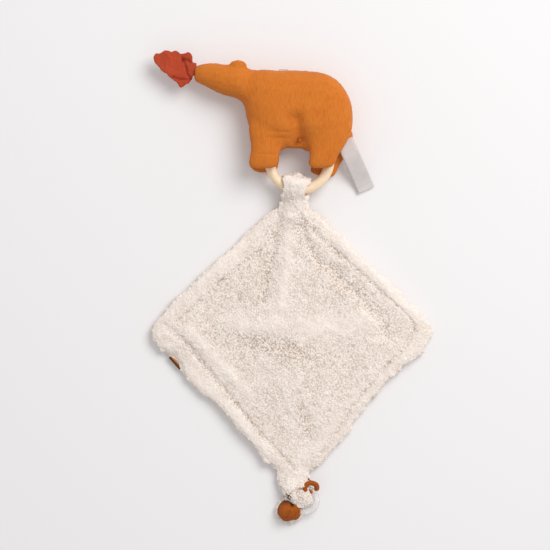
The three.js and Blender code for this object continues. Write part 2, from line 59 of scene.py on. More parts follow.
# Camera, straight above the blanket: metres, and millimetres for its sensor
VIEW_X = -17 * MM
VIEW_Y = 52 * MM
VIEW_HEIGHT = 3.5
VIEW_FIELD = 0.55
SENSOR = 36

# Lamp, towards the upper right: metres, degrees and watts
LAMP_SIZE = 1.65
LAMP_DISTANCE = 2.5
LAMP_AZIMUTH = 47
LAMP_ELEVATION = 51
LAMP_POWER = 41.5
SKY_LEVEL = 0.54

# Floor, just below the blanket
FLOOR_REACH = 3.0
FLOOR_THICKNESS = 10 * MM
FLOOR_DROP = 0.15 * MM
FLOOR_GLOW = 0.1

# Meshes: the spacing of their new points, and the rounds that smooth them
BEAR_VOXEL = 1.5 * MM
BEAR_SMOOTHING = 6
BLANKET_VOXEL = 1.5 * MM
BLANKET_SMOOTHING = 3
LEAF_VOXEL = 0.55 * MM
LEAF_SMOOTHING = 4
KNOT_VOXEL = 0.6 * MM
TAIL_SMOOTHING = 5
STRAP_SMOOTHING = 2
WELD_REACH = 0.001 * MM

# Which faces an effect is for, by the height of their normals: where it starts and where it is full
SIDE_FACES = (0.8, 0.3)
SEAM_FACES = (0.8, 0.4)
FLAT_FACES = (0.1, 0.6)
LEG_FACES = (0.2, 0.8)
DRAPE_FACES = (0.0, 0.6)
PANEL_FACES = (0.6, 0.9)
NECK_FACES = (-0.1, 0.3)
KNOT_FACES = (-0.2, 0.5)
TAIL_SIDE_FACES = (0.75, 0.25)
LOWER_FACES = (-0.5, -0.9)
BACK_FACES = (0.5, 0.9)
HIDDEN_BELOW = -0.9

# Noise: whole numbers that scramble a cell and a seed
HASH_FACTORS = (374761393, 668265263, 2147483647)
HASH_SEED = 974634777
HASH_MIX = 1274126177
HASH_MASK = 0xFFFFFFFF
HASH_TOP = 0xFFFF

# Muslin: its puckers, and the lumps of a filling under it
CRINKLE_HEIGHT = 0.16 * MM
CRINKLE_SPACING = 1.8 * MM
CRINKLE_LENGTH = 6 * MM
CRINKLE_SHARE = 0.75
FINE_CRINKLE_SHARE = 0.35
FINE_CRINKLES = 2.1
LUMP_HEIGHT = 0.35 * MM
LUMP_SPACING = 17 * MM

# Creases between forms, filled except beside a ring
BEAR_CREASE_ROUNDS = 90
BLANKET_CREASE_ROUNDS = 60
CREASE_NORMALS_EVERY = 10
CREASE_RING_REACH = 1.5 * MM
CREASE_RING_SHARE = 0.2
RING_CLEAR = 0.35 * MM

# Bear: its seams, and the hollow and dimple over the belly stitch
SEAM_WIDTH = 0.9 * MM
SEAM_DEPTH = 0.7 * MM
SEAM_PUCKER_SPACING = 3.4 * MM
SEAM_PUCKER_REACH = 5
SEAM_PUCKER_SHARE = 0.5
HOLLOW_DEPTH = 5.5 * MM
HOLLOW_WIDTH = 7 * MM
HOLLOW_ASIDE = -4 * MM
HOLLOW_RISE = 20 * MM
HOLLOW_MOST_SHARE = 1 / 3
DIMPLE_WIDTH = 2.6 * MM
DIMPLE_DEPTH = 2.4 * MM

# Bear: folds across the near front leg, as shares of its box
LEG_FOLD_DEPTH = 0.55 * MM
LEG_FOLD_WIDTH = 1.1 * MM
LEG_FOLD_SHARES = (
    ((0.6, 0.63), (1.3, 0.61)),
    ((0.65, 0.76), (1.25, 0.74)),
    ((0.3, 0.3), (0.85, 0.28)),
)

# Bear: where the far feet are drawn in, as shares of a leg's box, and the belly's filled corners
FOOT_TUCK = 3.5 * MM
FOOT_TUCK_WIDTH = 7 * MM
FOOT_TUCK_SHARES = {"far_front_leg": (0.0, 0.0), "far_hind_leg": (0.1, 0.0)}
CORNER_FILL = 3 * MM
CORNER_FILL_WIDTH = 4.5 * MM

# Pile: its curls; spacings without a unit are shares of a curl's size
CURL_SIZE = 2.1 * MM
CURL_GAIN = 1.5
CURL_POWER = 0.55
CURL_SHARE = 0.75
SWIRL_SPACING = 1.4
SWIRL_SHARE = 0.55
STRAND_SPACING = 0.4
STRAND_SHARE = 0.2
LEAN_SPACING = 1.1
LEAN_SHARE = 0.4
TUFT_SHARE = 0.22
TUFT_SPACING = 6.5 * MM
TUFT_HEIGHT = 0.45 * MM
TIP_TOP = 1.2
PILE_HEIGHT = 1.2 * MM
PILE_BASE_SHARE = 0.6
PILE_CLOSED_SHARE = 0.6
PILE_OPEN_SHARE = 0.6
PILE_BY_RING = (2.5 * MM, 1.0 * MM)

# Pile at the blanket's edge
EDGE_TUFT_HEIGHT = 2.4 * MM
EDGE_CURL = 1.3 * MM
EDGE_CURL_SPACING = 2.8 * MM
EDGE_WAVE = 1.8 * MM
EDGE_WAVE_SPACING = 15 * MM

# Pile: how open it is, and where it is closed; open pile shows more painted shade in its gaps
OPEN_SHARE = 0.58
PATCH_SHARE = 0.2
PATCH_SPACING = 17 * MM
LOOP_CLOSED_SHARE = 0.5
BORDER_CLOSED_SHARE = 0.35
BORDER_WIDTH = 13 * MM
FOLD_OPENING_AND_SHADE = 0.6

# Blanket: the outline of its front, as shares of its box
OUTLINE_SHARES = ((0.45, 1.0), (0.0, 0.55), (0.5, 0.0), (1.0, 0.55), (0.55, 1.0))

# Blanket: folds in its upper face, as (width and rise in millimetres, shares of its box), and swells
FOLD_SHARES = (
    (7, -2.4, ((0.64, 0.765), (0.71, 0.7), (0.77, 0.64), (0.825, 0.575), (0.845, 0.52))),
    (2.4, -0.8, ((0.535, 0.955), (0.6, 0.885), (0.69, 0.8), (0.78, 0.72), (0.857, 0.648))),
    (1.5, -1.1, ((0.857, 0.648), (0.904, 0.608), (0.93, 0.576), (0.933, 0.548))),
    (1.8, -1.3, ((0.933, 0.548), (0.916, 0.518), (0.895, 0.478), (0.85, 0.42))),
    (1.9, -1.1, ((0.85, 0.42), (0.766, 0.319), (0.67, 0.19), (0.6, 0.09))),
    (1.5, -1, ((0.45, 0.885), (0.25, 0.72), (0.09, 0.575))),
    (2.4, -1.6, ((0.05, 0.56), (0.134, 0.484), (0.224, 0.374), (0.304, 0.264))),
    (2.4, -1.6, ((0.304, 0.264), (0.394, 0.154), (0.513, 0.03))),
    (6, 1.8, ((0.49, 0.95), (0.485, 0.8), (0.46, 0.62))),
    (11, 1.3, ((0.3, 0.56), (0.47, 0.56), (0.64, 0.55), (0.78, 0.565))),
    (4.5, -1.8, ((0.44, 0.88), (0.43, 0.82), (0.41, 0.72), (0.394, 0.65))),
    (5, -1.8, ((0.53, 0.91), (0.56, 0.85), (0.6, 0.78))),
    (9, -0.6, ((0.24, 0.53), (0.41, 0.48), (0.57, 0.44))),
    (5, -1.4, ((0.54, 0.25), (0.57, 0.15))),
    (6, 2, ((0.134, 0.53), (0.24, 0.42), (0.35, 0.3))),
    (9, 1.8, ((0.68, 0.88), (0.8, 0.75), (0.92, 0.62))),
    (8, 1.8, ((0.16, 0.72), (0.3, 0.84))),
    (7, 1, ((0.1, 0.42), (0.24, 0.27), (0.4, 0.08))),
)
FOLD_LEVEL = 0.85
FOLD_UNEVEN = 0.3
FOLD_UNEVEN_SPACING = 16 * MM
SWELL_SPACING = 52 * MM
SWELL_HEIGHT = 2.4 * MM
DRAPE_MARGIN = 16 * MM
BACK_CLEAR = 1.5 * MM
LABEL_NOTCH_WIDTH = 11 * MM
LABEL_NOTCH_DEPTH = 5 * MM
EVEN_ROUNDS = 25

# Blanket: where its lower edges bulge, as (width, sideways and along in millimetres, shares of its box)
BULGE_SHARES = (
    (20, -4.5, -2.5, ((0.02, 0.5), (0.1, 0.41), (0.16, 0.34))),
    (12, 5, -1, ((0.7, 0.16), (0.6, 0.04))),
    (17, 5, -4.5, ((0.985, 0.55), (0.94, 0.48))),
)

# Neck between the blanket and its loop
NECK_OVERLAP = 3 * MM
NECK_HEIGHT = 14 * MM
NECK_LENGTH = 15 * MM
NECK_END_SHARE = 1.4
NECK_THICKNESS = 5.5 * MM
NECK_WIDENING = 1.8 * MM
NECK_DROP = 5 * MM
NECK_ROUNDS = 140
NECK_SMOOTHING = 25
LOOP_SPREAD_SHARE = 0.25
LINING_SHARE = 0.75

# Knot: cloth gathered in front of it, its lumps, and its crease in shares of the wrap's box
GATHER_WIDTH = 17 * MM
GATHER_LENGTH = 17 * MM
GATHER_HEIGHT = 5 * MM
GATHER_ASIDE = 4 * MM
KNOT_LUMP = 1.3 * MM
KNOT_LUMP_SPACING = 5 * MM
WRAP_CREASE_WIDTH = 1.9 * MM
WRAP_CREASE_DEPTH = 3.4 * MM
WRAP_CREASE_SHARES = ((0.12, 0.36), (0.29, 0.46), (0.5, 0.58), (0.74, 0.62))

# Knot's tail: the pile behind it, its painted shade, and its notch in shares of its box
TAIL_FRINGE = 3.4 * MM
FRINGE_HALF_HEIGHT = 4.5 * MM
TAIL_DARK_LENGTH = 7 * MM
TAIL_NOTCH_DARK = 0.6
TAIL_SIDE_DARK = 0.35
TAIL_NOTCH_WIDTH = 1.7 * MM
TAIL_NOTCH_DEPTH = 3 * MM
TAIL_NOTCH_SHARES = ((0.64, 1.0), (0.62, 0.74))

# Knot's strap: an arch placed from the clear ring's middle, with its turn in degrees
STRAP_THICKNESS = 5.4 * MM
STRAP_WIDTH = 11.6 * MM
STRAP_LENGTH = 9 * MM
STRAP_ASIDE = 6 * MM
STRAP_AHEAD = 13.2 * MM
STRAP_RISE = 4.2 * MM
STRAP_FALL = 4 * MM
STRAP_FALL_POWER = 4
STRAP_FROM = -25
STRAP_TO = 275
STRAP_STEPS = 36

# Loops of thread at the belly stitch, and along the back where it was sewn shut: angles in radians
LOOP_RADIUS = 1.3 * MM
LOOP_THREAD = 0.6 * MM
LOOP_STEPS = 16
LOOP_ANGLE = 5.2
LOOP_TILT = 0.6
LOOP_SPREAD = 2.4 * MM
SHUT_STITCHES = 3
SHUT_AHEAD = 19 * MM
SHUT_SPACING = 3 * MM
SHUT_LOOP_SHARE = 0.8

# Ends of thread at the knot, as shares of the wrap's box
KNOT_THREAD = 0.9 * MM
KNOT_THREAD_SHARES = (
    ((0.16, 0.5), (0.24, 0.42), (0.22, 0.34), (0.3, 0.3)),
    ((0.2, 0.36), (0.27, 0.44), (0.33, 0.36)),
    ((0.84, 0.98), (0.88, 0.93), (0.93, 0.9)),
)

# Labels
LABEL_CURL = 1.2 * MM
LABEL_CURL_SPACING = 16 * MM

# Leaf: its creases and ridge in shares of its box, its waves, and the stem in the mouth
LEAF_CREASE_SHARES = (
    ((0.763, 0.764), (0.8, 0.542), (0.854, 0.372), (0.927, 0.223)),
    ((0.763, 0.738), (0.927, 0.69)),
    ((0.5, 0.25), (0.75, 0.215), (0.927, 0.187)),
)
LEAF_CREASE_WIDTH = 1.7 * MM
LEAF_CREASE_DEPTH = 2.6 * MM
LEAF_RIDGE_SHARES = ((0.368, 0.894), (0.368, 0.484))
LEAF_RIDGE_WIDTH = 4 * MM
LEAF_RIDGE_HEIGHT = 1.2 * MM
LEAF_WAVE = 1.5 * MM
LEAF_WAVE_SPACING = 12 * MM
LEAF_RUFFLE = 1.4 * MM
LEAF_RUFFLE_SPACING = 4.5 * MM
LEAF_WRINKLE = 0.32 * MM
LEAF_WRINKLE_SPACING = 2.6 * MM
STEM_HALF_WIDTH = 6.4 * MM
STEM_REACH = 3.5 * MM

# Sockets of the node that mixes colours
MIX_INPUTS = (0, 6, 7)
MIX_OUTPUT = 2

# Ribs: the scale at which they are one unit apart, and their bump's height and strength
RIB_SCALE = 0.314
RIB_BUMP = (0.15 * MM, 0.8)

# Materials: sizes of patterns, spans of their values with what they turn into, heights and strengths of bumps
NOISE_SPAN = (0.3, 0.7)
PUCKER_SIZE = (1.0 * MM, 6 * MM, 1.0 * MM)
MOTTLE_SIZE = (14 * MM, 22 * MM, 14 * MM)
MOTTLE_TONES = (0.4, 0.6)
SHADE_SPAN = (0.1, 0.5)
LIGHT_SPAN = (0.5, 1.0)
STREAK = 0.25
FAINT_STREAK = 0.12
WEAVE_SPACING = 0.75 * MM
WEAVE_SHARE = 0.35
MUSLIN_BUMP = (0.35 * MM, 0.7)
FIBRE_SIZE = (0.35 * MM,) * 3
FIBRE_SHARE = 0.3
GAP_CELL_SHARE = 0.85
GAP_SPAN = (0.35, 0.7)
TIP_SPAN = (0.1, 0.65)
DEEP_SPAN = (1.0, 0.2, 0.15, 0.95)
PILE_BUMP = (0.5 * MM, 0.6)
GRAIN_SIZE = (30 * MM, 1.6 * MM, 1.6 * MM)
GRAIN_SPAN = (0.3, 0.75, 0.0, 0.8)
FLECK_SIZE = (4 * MM, 0.35 * MM, 0.35 * MM)
FLECK_SPAN = (0.62, 0.8, 0.0, 0.3)
WOOD_BUMP = (0.05 * MM, 0.4)
SATIN_RIB = 0.35 * MM
SATIN_BUMP = (0.04 * MM, 0.5)
SLUB_SIZE = (6 * MM,) * 3
SLUB_TONES = (0.0, 0.5)
TAPE_RIB = 0.5 * MM
TAPE_FOLD_SPAN = (0.22, 0.42)
THREAD_RIB = 0.4 * MM
CLOUD_SIZE = (5 * MM,) * 3


# Colours


def srgb(red, green, blue):
    """Linear colour of a screen colour given from 0 to 255."""
    def linear(value):
        value /= 255
        return value / 12.92 if value <= 0.04045 else ((value + 0.055) / 1.055) ** 2.4
    return linear(red), linear(green), linear(blue), 1


# Muslin: each colour with its painted shade and light
OCHRE = srgb(208, 118, 43)
OCHRE_SHADE = srgb(192, 102, 33)
OCHRE_LIGHT = srgb(215, 128, 54)
RUST = srgb(181, 71, 44)
RUST_SHADE = srgb(152, 52, 32)
RUST_LIGHT = srgb(197, 91, 61)
# Cream pile: its tips, and painted shade low in the pile and in its gaps
CREAM = srgb(252, 241, 232)
CREAM_SHADE = srgb(240, 225, 214)
CREAM_GAP_SHADE = srgb(184, 163, 145)
MAPLE = srgb(250, 228, 198)
MAPLE_SHADE = srgb(242, 211, 172)
SATIN = srgb(206, 198, 194)
SATIN_LIGHT = srgb(217, 211, 207)
TAPE = srgb(112, 58, 22)
TAPE_SHADE = srgb(84, 40, 14)
TAPE_LIGHT = srgb(196, 142, 74)
THREAD = srgb(170, 88, 34)
THREAD_LIGHT = srgb(206, 140, 72)
# Ochre muslin darkened as painted shade, for the knot's tail and strap, with its own painted shade and light
TAIL_OCHRE = srgb(170, 87, 28)
TAIL_SHADE = srgb(88, 42, 14)
TAIL_LIGHT = srgb(190, 106, 40)
DARK_THREAD = srgb(48, 30, 20)
DARK_THREAD_LIGHT = srgb(72, 48, 34)
SILICONE = srgb(253, 249, 247)
SILICONE_SHADE = srgb(246, 242, 239)
FLOOR = srgb(241, 239, 239)
BLACK = (0, 0, 0, 1)
WHITE = (1, 1, 1, 1)


# Noise, on arrays of points


def hashed(cells, seed):
    """A number from 0 to 1 for each cell of whole coordinates."""
    mixed = ((cells * HASH_FACTORS).sum(axis=-1) + seed * HASH_SEED) & HASH_MASK
    mixed = ((mixed ^ (mixed >> 13)) * HASH_MIX) & HASH_MASK
    return ((mixed ^ (mixed >> 16)) & HASH_TOP) / HASH_TOP


def value_noise(points, seed):
    """Smooth noise from -1 to 1, whose bumps are one unit apart."""
    cells = np.floor(points).astype(np.int64)
    part = points - cells
    part = part * part * (3 - 2 * part)
    total = np.zeros(len(points))
    for corner in np.ndindex(2, 2, 2):
        corner = np.array(corner)
        weight = np.prod(np.where(corner, part, 1 - part), axis=1)
        total += weight * hashed(cells + corner, seed)
    return total * 2 - 1


def vector_noise(points, seed):
    """Three noises at each point, as a direction."""
    return np.stack([value_noise(points, seed + i) for i in range(3)], axis=1)


def layered_noise(points, seed):
    """Noise with noise on it that is half as wide and half as strong."""
    return (2 * value_noise(points, seed) + value_noise(points * 2, seed + 1)) / 3


def nearest_two(points, seed):
    """Distances to the nearest and second nearest of one scattered point in each unit cell."""
    cells = np.floor(points).astype(np.int64)
    first = np.full(len(points), np.inf)
    second = np.full(len(points), np.inf)
    for offset in np.ndindex(3, 3, 3):
        cell = cells + np.array(offset) - 1
        spot = np.stack([hashed(cell, seed + i) for i in range(3)], axis=1) + cell
        away = np.linalg.norm(points - spot, axis=1)
        second = np.where(away < first, first, np.minimum(second, away))
        first = np.minimum(first, away)
    return first, second


def smoothstep(low, high, values):
    """Shares that rise from 0 at low to 1 at high, without corners."""
    share = np.clip((values - low) / (high - low), 0, 1)
    return share * share * (3 - 2 * share)


# Places and lines seen from above


def middle_of(node):
    low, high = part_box(node)
    return (low + high) / 2


def placed(shares, low, high):
    """Points inside a box, from shares of its width and height."""
    return [(low.x + across * (high.x - low.x), low.y + up * (high.y - low.y)) for across, up in shares]


def near_line(points, line, width):
    """A share for each point that falls off from 1 on the line, as wide as it says."""
    flat = points[:, :2]
    away = np.full(len(points), np.inf)
    for start, end in zip(line, line[1:]):
        start, along = np.array(start), np.array(end) - start
        share = np.clip((flat - start) @ along / max(along @ along, MM * MM), 0, 1)
        away = np.minimum(away, np.linalg.norm(flat - start - share[:, None] * along, axis=1))
    return np.exp(-(away / width) ** 2)


def near_place(points, x, y, width):
    """The same for one place."""
    return near_line(points, [(x, y), (x, y)], width)


# Meshes


def piece_of(name, mesh):
    piece = bpy.data.objects.new(name, mesh)
    bpy.context.scene.collection.objects.link(piece)
    return piece


def piece_from(name, shape):
    """A piece with the faces of a bmesh, which is freed."""
    mesh = bpy.data.meshes.new(name)
    shape.to_mesh(mesh)
    shape.free()
    return piece_of(name, mesh)


def cad_copy(name, *nodes):
    """A piece that joins copies of CAD nodes."""
    shape = bmesh.new()
    for node in nodes:
        shape.from_mesh(frame["nodes"][node].data)
    bmesh.ops.remove_doubles(shape, verts=shape.verts, dist=WELD_REACH)
    return piece_from(name, shape)


def joined(name, *pieces):
    """One piece from several, which are removed."""
    shape = bmesh.new()
    for piece in pieces:
        shape.from_mesh(piece.data)
        bpy.data.objects.remove(piece)
    return piece_from(name, shape)


def box_piece(name, low, high):
    shape = bmesh.new()
    bmesh.ops.create_cube(shape, size=1)
    low, high = Vector(low), Vector(high)
    for vertex in shape.verts:
        vertex.co = (low + high) / 2 + vertex.co * (high - low)
    return piece_from(name, shape)


def ball(name, centre, radii):
    shape = bmesh.new()
    bmesh.ops.create_uvsphere(shape, u_segments=32, v_segments=16, radius=1)
    for vertex in shape.verts:
        vertex.co = Vector(centre) + vertex.co * Vector(radii)
    return piece_from(name, shape)


def tube(name, places, radius):
    """A round tube along places, with closed ends."""
    curve = bpy.data.curves.new(name, "CURVE")
    curve.dimensions = "3D"
    curve.bevel_depth = radius
    curve.bevel_resolution = 4
    curve.use_fill_caps = True
    spline = curve.splines.new("POLY")
    spline.points.add(len(places) - 1)
    for point, place in zip(spline.points, places):
        point.co = (*place, 1)
    line = piece_of(name + "_line", curve)
    graph = bpy.context.evaluated_depsgraph_get()
    mesh = bpy.data.meshes.new_from_object(line.evaluated_get(graph), depsgraph=graph)
    bpy.data.objects.remove(line)
    mesh.name = name
    return piece_of(name, mesh)


def changed(piece, kind, **settings):
    """Applies one modifier to a piece's mesh."""
    modifier = piece.modifiers.new(kind, kind)
    for key, value in settings.items():
        setattr(modifier, key, value)
    graph = bpy.context.evaluated_depsgraph_get()
    mesh = bpy.data.meshes.new_from_object(piece.evaluated_get(graph), depsgraph=graph)
    piece.modifiers.clear()
    bare = piece.data
    piece.data = mesh
    bpy.data.meshes.remove(bare)
    mesh.name = piece.name
    return piece


def remeshed(piece, voxel, smoothing):
    """One closed skin round all that a piece holds, smoothed."""
    changed(piece, "REMESH", mode="VOXEL", voxel_size=voxel)
    return changed(piece, "SMOOTH", factor=0.5, iterations=smoothing)


def rows_of(items, key, width, kind=np.float64):
    """One row of values for each item of a mesh."""
    values = np.empty(len(items) * width, dtype=kind)
    items.foreach_get(key, values)
    return values.reshape(-1, width)


def points_of(piece):
    return rows_of(piece.data.vertices, "co", 3)


def normals_of(piece):
    return rows_of(piece.data.vertex_normals, "vector", 3)


def neighbour_mean(points, edges):
    """The mean of the points that edges join to each point."""
    near, far = np.concatenate([edges, edges[:, ::-1]]).T
    count = np.bincount(near, minlength=len(points))
    total = np.stack([np.bincount(near, points[far, axis], len(points)) for axis in range(3)], axis=1)
    return total / count[:, None]


def set_points(piece, points):
    """Moves a piece's points, none of them below the floor."""
    points[:, 2] = np.maximum(points[:, 2], 0)
    piece.data.vertices.foreach_set("co", points.ravel())
    piece.data.update()


def keep_value(piece, name, values):
    """Stores a value at each point, which the piece's material reads."""
    attribute = piece.data.attributes.new(name, "FLOAT", "POINT")
    attribute.data.foreach_set("value", values.astype(np.float32))


def coated(piece, material):
    """Gives a piece its material and the name of its slot, with its facets rounded."""
    for polygon in piece.data.polygons:
        polygon.use_smooth = True
    piece.data.materials.clear()
    piece.data.materials.append(material)


def finished(piece, material, body=None, stands_for=()):
    """Coats a piece, hides the nodes it stands for, and says which body it rides."""
    coated(piece, material)
    if stands_for:
        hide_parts(*stands_for)
    if body:
        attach(piece, body)


# Materials


class Paint:
    """A node material, with one call for each node."""

    def __init__(self, name, **surface):
        self.material = bpy.data.materials.new(name)
        self.material.use_nodes = True
        self.tree = self.material.node_tree
        self.surface = self.tree.nodes["Principled BSDF"]
        for key, value in surface.items():
            self.surface.inputs[key.replace("_", " ")].default_value = value
        self.place = self.node("ShaderNodeTexCoord").outputs["Object"]

    def node(self, kind, inputs=None, **settings):
        made = self.tree.nodes.new(kind)
        for key, value in settings.items():
            setattr(made, key, value)
        for key, value in (inputs or {}).items():
            if isinstance(value, bpy.types.NodeSocket):
                self.tree.links.new(value, made.inputs[key])
            else:
                made.inputs[key].default_value = value
        return made

    def scaled(self, x, y, z):
        """The place, divided by a spacing along each axis."""
        scale = (1 / x, 1 / y, 1 / z)
        return self.node("ShaderNodeMapping", {"Vector": self.place, "Scale": scale}).outputs["Vector"]

    def noise(self, x, y, z, detail=2.0, twist=0.0):
        inputs = {"Vector": self.scaled(x, y, z), "Scale": 1.0, "Detail": detail, "Distortion": twist}
        return self.node("ShaderNodeTexNoise", inputs).outputs["Fac"]

    def cells(self, size):
        """Distance to the middle of the nearest of many scattered cells."""
        inputs = {"Vector": self.scaled(size, size, size), "Scale": 1.0}
        return self.node("ShaderNodeTexVoronoi", inputs).outputs["Distance"]

    def threads(self, spacing, direction):
        """Ribs across one axis, as fine as the cloth's threads."""
        place = self.scaled(spacing, spacing, spacing)
        inputs = {"Vector": place, "Scale": RIB_SCALE, "Distortion": 0.6, "Detail": 1.0}
        return self.node("ShaderNodeTexWave", inputs, bands_direction=direction).outputs["Fac"]

    def maths(self, operation, first, second):
        return self.node("ShaderNodeMath", {0: first, 1: second}, operation=operation).outputs[0]

    def spread(self, value, low, high, to_low=0.0, to_high=1.0):
        """A value whose span from low to high becomes another span."""
        inputs = {"Value": value, "From Min": low, "From Max": high, "To Min": to_low, "To Max": to_high}
        return self.node("ShaderNodeMapRange", inputs).outputs["Result"]

    def mixed(self, share, first, second):
        inputs = dict(zip(MIX_INPUTS, (share, first, second)))
        return self.node("ShaderNodeMix", inputs, data_type="RGBA").outputs[MIX_OUTPUT]

    def attribute(self, name):
        return self.node("ShaderNodeAttribute", attribute_name=name).outputs["Fac"]

    def bumped(self, height, distance, strength):
        inputs = {"Height": height, "Distance": distance, "Strength": strength}
        bump = self.node("ShaderNodeBump", inputs)
        self.tree.links.new(bump.outputs["Normal"], self.surface.inputs["Normal"])

    def coloured(self, colour):
        self.tree.links.new(colour, self.surface.inputs["Base Color"])
        return self.material


def muslin(name, colour, shade, light, painted_shade=False, streak=STREAK):
    """Crinkled double gauze: long puckers over a fine open weave, with painted shade and light along the
    puckers over a random mottle, and painted shade where the piece stores it.
    """
    paint = Paint(name, Roughness=0.92, Sheen_Weight=0.1, Sheen_Roughness=0.5, Specular_IOR_Level=0.1)
    pucker = paint.noise(*PUCKER_SIZE, detail=3.0, twist=0.25)
    mottle = paint.noise(*MOTTLE_SIZE)
    weave = paint.maths("MULTIPLY", paint.threads(WEAVE_SPACING, "X"), paint.threads(WEAVE_SPACING, "Y"))
    # Streaks along the puckers are painted shade and light; the mottle is tone that differs at random
    streaks = paint.spread(pucker, *NOISE_SPAN, -streak, streak)
    tone = paint.maths("ADD", streaks, paint.spread(mottle, *NOISE_SPAN, *MOTTLE_TONES))
    dark = paint.mixed(paint.spread(tone, *SHADE_SPAN), shade, colour)
    full = paint.mixed(paint.spread(tone, *LIGHT_SPAN), dark, light)
    height = paint.maths("ADD", pucker, paint.maths("MULTIPLY", weave, WEAVE_SHARE))
    paint.bumped(height, *MUSLIN_BUMP)
    # Painted shade, where the piece stores it
    if painted_shade:
        full = paint.mixed(paint.attribute("painted_shade"), full, shade)
    return paint.coloured(full)


def sherpa():
    """Curly pile: pale tips over painted shade low in the pile and in the gaps between curls, most where the
    pile is open, with fine fibres.
    """
    paint = Paint("sherpa", Roughness=1.0, Sheen_Weight=0.3, Sheen_Roughness=0.6, Specular_IOR_Level=0.05)
    fibre = paint.noise(*FIBRE_SIZE, detail=3.0, twist=1.5)
    curl = paint.cells(CURL_SIZE * GAP_CELL_SHARE)
    tip = paint.spread(paint.attribute("tip"), *TIP_SPAN)
    tip_shade = paint.mixed(tip, CREAM_SHADE, CREAM)
    deep = paint.spread(tip, *DEEP_SPAN)
    gap = paint.maths("MULTIPLY", paint.spread(curl, *GAP_SPAN), deep)
    shown = paint.maths("MULTIPLY", gap, paint.attribute("open"))
    height = paint.maths("SUBTRACT", paint.maths("MULTIPLY", fibre, FIBRE_SHARE), curl)
    paint.bumped(height, *PILE_BUMP)
    return paint.coloured(paint.mixed(shown, tip_shade, CREAM_GAP_SHADE))


def maple():
    """Oiled maple: straight grain with small flecks."""
    paint = Paint("maple", Roughness=0.42, Specular_IOR_Level=0.35, Coat_Weight=0.08)
    grain = paint.noise(*GRAIN_SIZE, detail=4.0, twist=0.8)
    fleck = paint.noise(*FLECK_SIZE)
    tone = paint.maths("ADD", paint.spread(grain, *GRAIN_SPAN), paint.spread(fleck, *FLECK_SPAN))
    paint.bumped(fleck, *WOOD_BUMP)
    return paint.coloured(paint.mixed(tone, MAPLE, MAPLE_SHADE))


def satin():
    """Care label: bare satin ribbon with a fine rib across it."""
    paint = Paint("satin", Roughness=0.4, Sheen_Weight=0.1, Specular_IOR_Level=0.4)
    rib = paint.threads(SATIN_RIB, "DIAGONAL")
    slub = paint.noise(*SLUB_SIZE)
    paint.bumped(rib, *SATIN_BUMP)
    return paint.coloured(paint.mixed(paint.spread(slub, *NOISE_SPAN, *SLUB_TONES), SATIN, SATIN_LIGHT))


def ribbed(name, spacing):
    """A paint with raised diagonal ribs, and those ribs."""
    paint = Paint(name, Roughness=0.75, Specular_IOR_Level=0.2)
    rib = paint.threads(spacing, "DIAGONAL")
    paint.bumped(rib, *RIB_BUMP)
    return paint, rib


def tape():
    """Edge label: woven tape, golden beside the blanket and brown at its fold."""
    paint, rib = ribbed("tape", TAPE_RIB)
    brown = paint.mixed(rib, TAPE_SHADE, TAPE)
    fold = paint.spread(paint.attribute("fold"), *TAPE_FOLD_SPAN)
    return paint.coloured(paint.mixed(fold, TAPE_LIGHT, brown))


def twisted(name, colour, shade):
    """Thread with diagonal ribs."""
    paint, rib = ribbed(name, THREAD_RIB)
    return paint.coloured(paint.mixed(rib, shade, colour))


def silicone():
    """Clear food-grade silicone, slightly cloudy."""
    paint = Paint("clear_silicone", Roughness=0.12, IOR=1.41, Transmission_Weight=0.3, Alpha=0.5)
    cloud = paint.noise(*CLOUD_SIZE)
    return paint.coloured(paint.mixed(paint.spread(cloud, *NOISE_SPAN), SILICONE, SILICONE_SHADE))


# Surface relief


def from_ring(points, node):
    """How far points are outside a CAD ring that lies level, and the direction away from it."""
    low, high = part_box(node)
    centre = (low + high) / 2
    tube_radius = (high.z - low.z) / 2
    radius = (high.x - low.x) / 2 - tube_radius
    core = points - centre
    core[:, 2] = 0
    core *= radius / np.linalg.norm(core, axis=1)[:, None]
    away = points - centre - core
    reach = np.linalg.norm(away, axis=1)
    return reach - tube_radius, away / reach[:, None]


def off_both_rings(points):
    """How far points are outside the nearer of the two rings."""
    return np.minimum(from_ring(points, "wooden_ring")[0], from_ring(points, "pacifier_ring")[0])


def kept_off(piece, node):
    """Moves a piece's points out of a CAD ring."""
    points = points_of(piece)
    reach, outward = from_ring(points, node)
    set_points(piece, points + outward * np.maximum(RING_CLEAR - reach, 0)[:, None])


def creases_filled(piece, rounds, off_ring):
    """Rounds off the creases between forms, except beside a ring, which is off_ring away from each point."""
    keep = smoothstep(CREASE_RING_SHARE, 1, off_ring / CREASE_RING_REACH)
    edges = rows_of(piece.data.edges, "vertices", 2, np.int64)
    points = points_of(piece)
    for turn in range(rounds):
        if turn % CREASE_NORMALS_EVERY == 0:
            set_points(piece, points)
            normals = normals_of(piece)
        pull = neighbour_mean(points, edges) - points
        outward = np.clip((pull * normals).sum(axis=1), 0, None) * keep
        points += normals * outward[:, None]
    set_points(piece, points)


def crinkled(piece, lump, seed):
    """Raises the long puckers of double gauze, which run along Y, and the soft lumps of its filling."""
    points = points_of(piece)
    spacing = np.array([CRINKLE_SPACING, CRINKLE_LENGTH, CRINKLE_SPACING])
    bend = vector_noise(points / LUMP_SPACING, seed) * CRINKLE_SPACING
    pucker = value_noise((points + bend) / spacing, seed + 3)
    fine = value_noise((points + bend) / spacing * FINE_CRINKLES, seed + 4)
    soft = value_noise(points / LUMP_SPACING, seed + 5)
    rise = CRINKLE_HEIGHT * (CRINKLE_SHARE * pucker + FINE_CRINKLE_SHARE * fine) + lump * soft
    set_points(piece, points + normals_of(piece) * rise[:, None])


def evened(piece, share, rounds, along=(0, 0, 1)):
    """Smooths a piece along the axes given, as far as share, a value at each point, says."""
    edges = rows_of(piece.data.edges, "vertices", 2, np.int64)
    points = points_of(piece)
    for _ in range(rounds):
        points += (neighbour_mean(points, edges) - points) * share[:, None] * along
    set_points(piece, points)


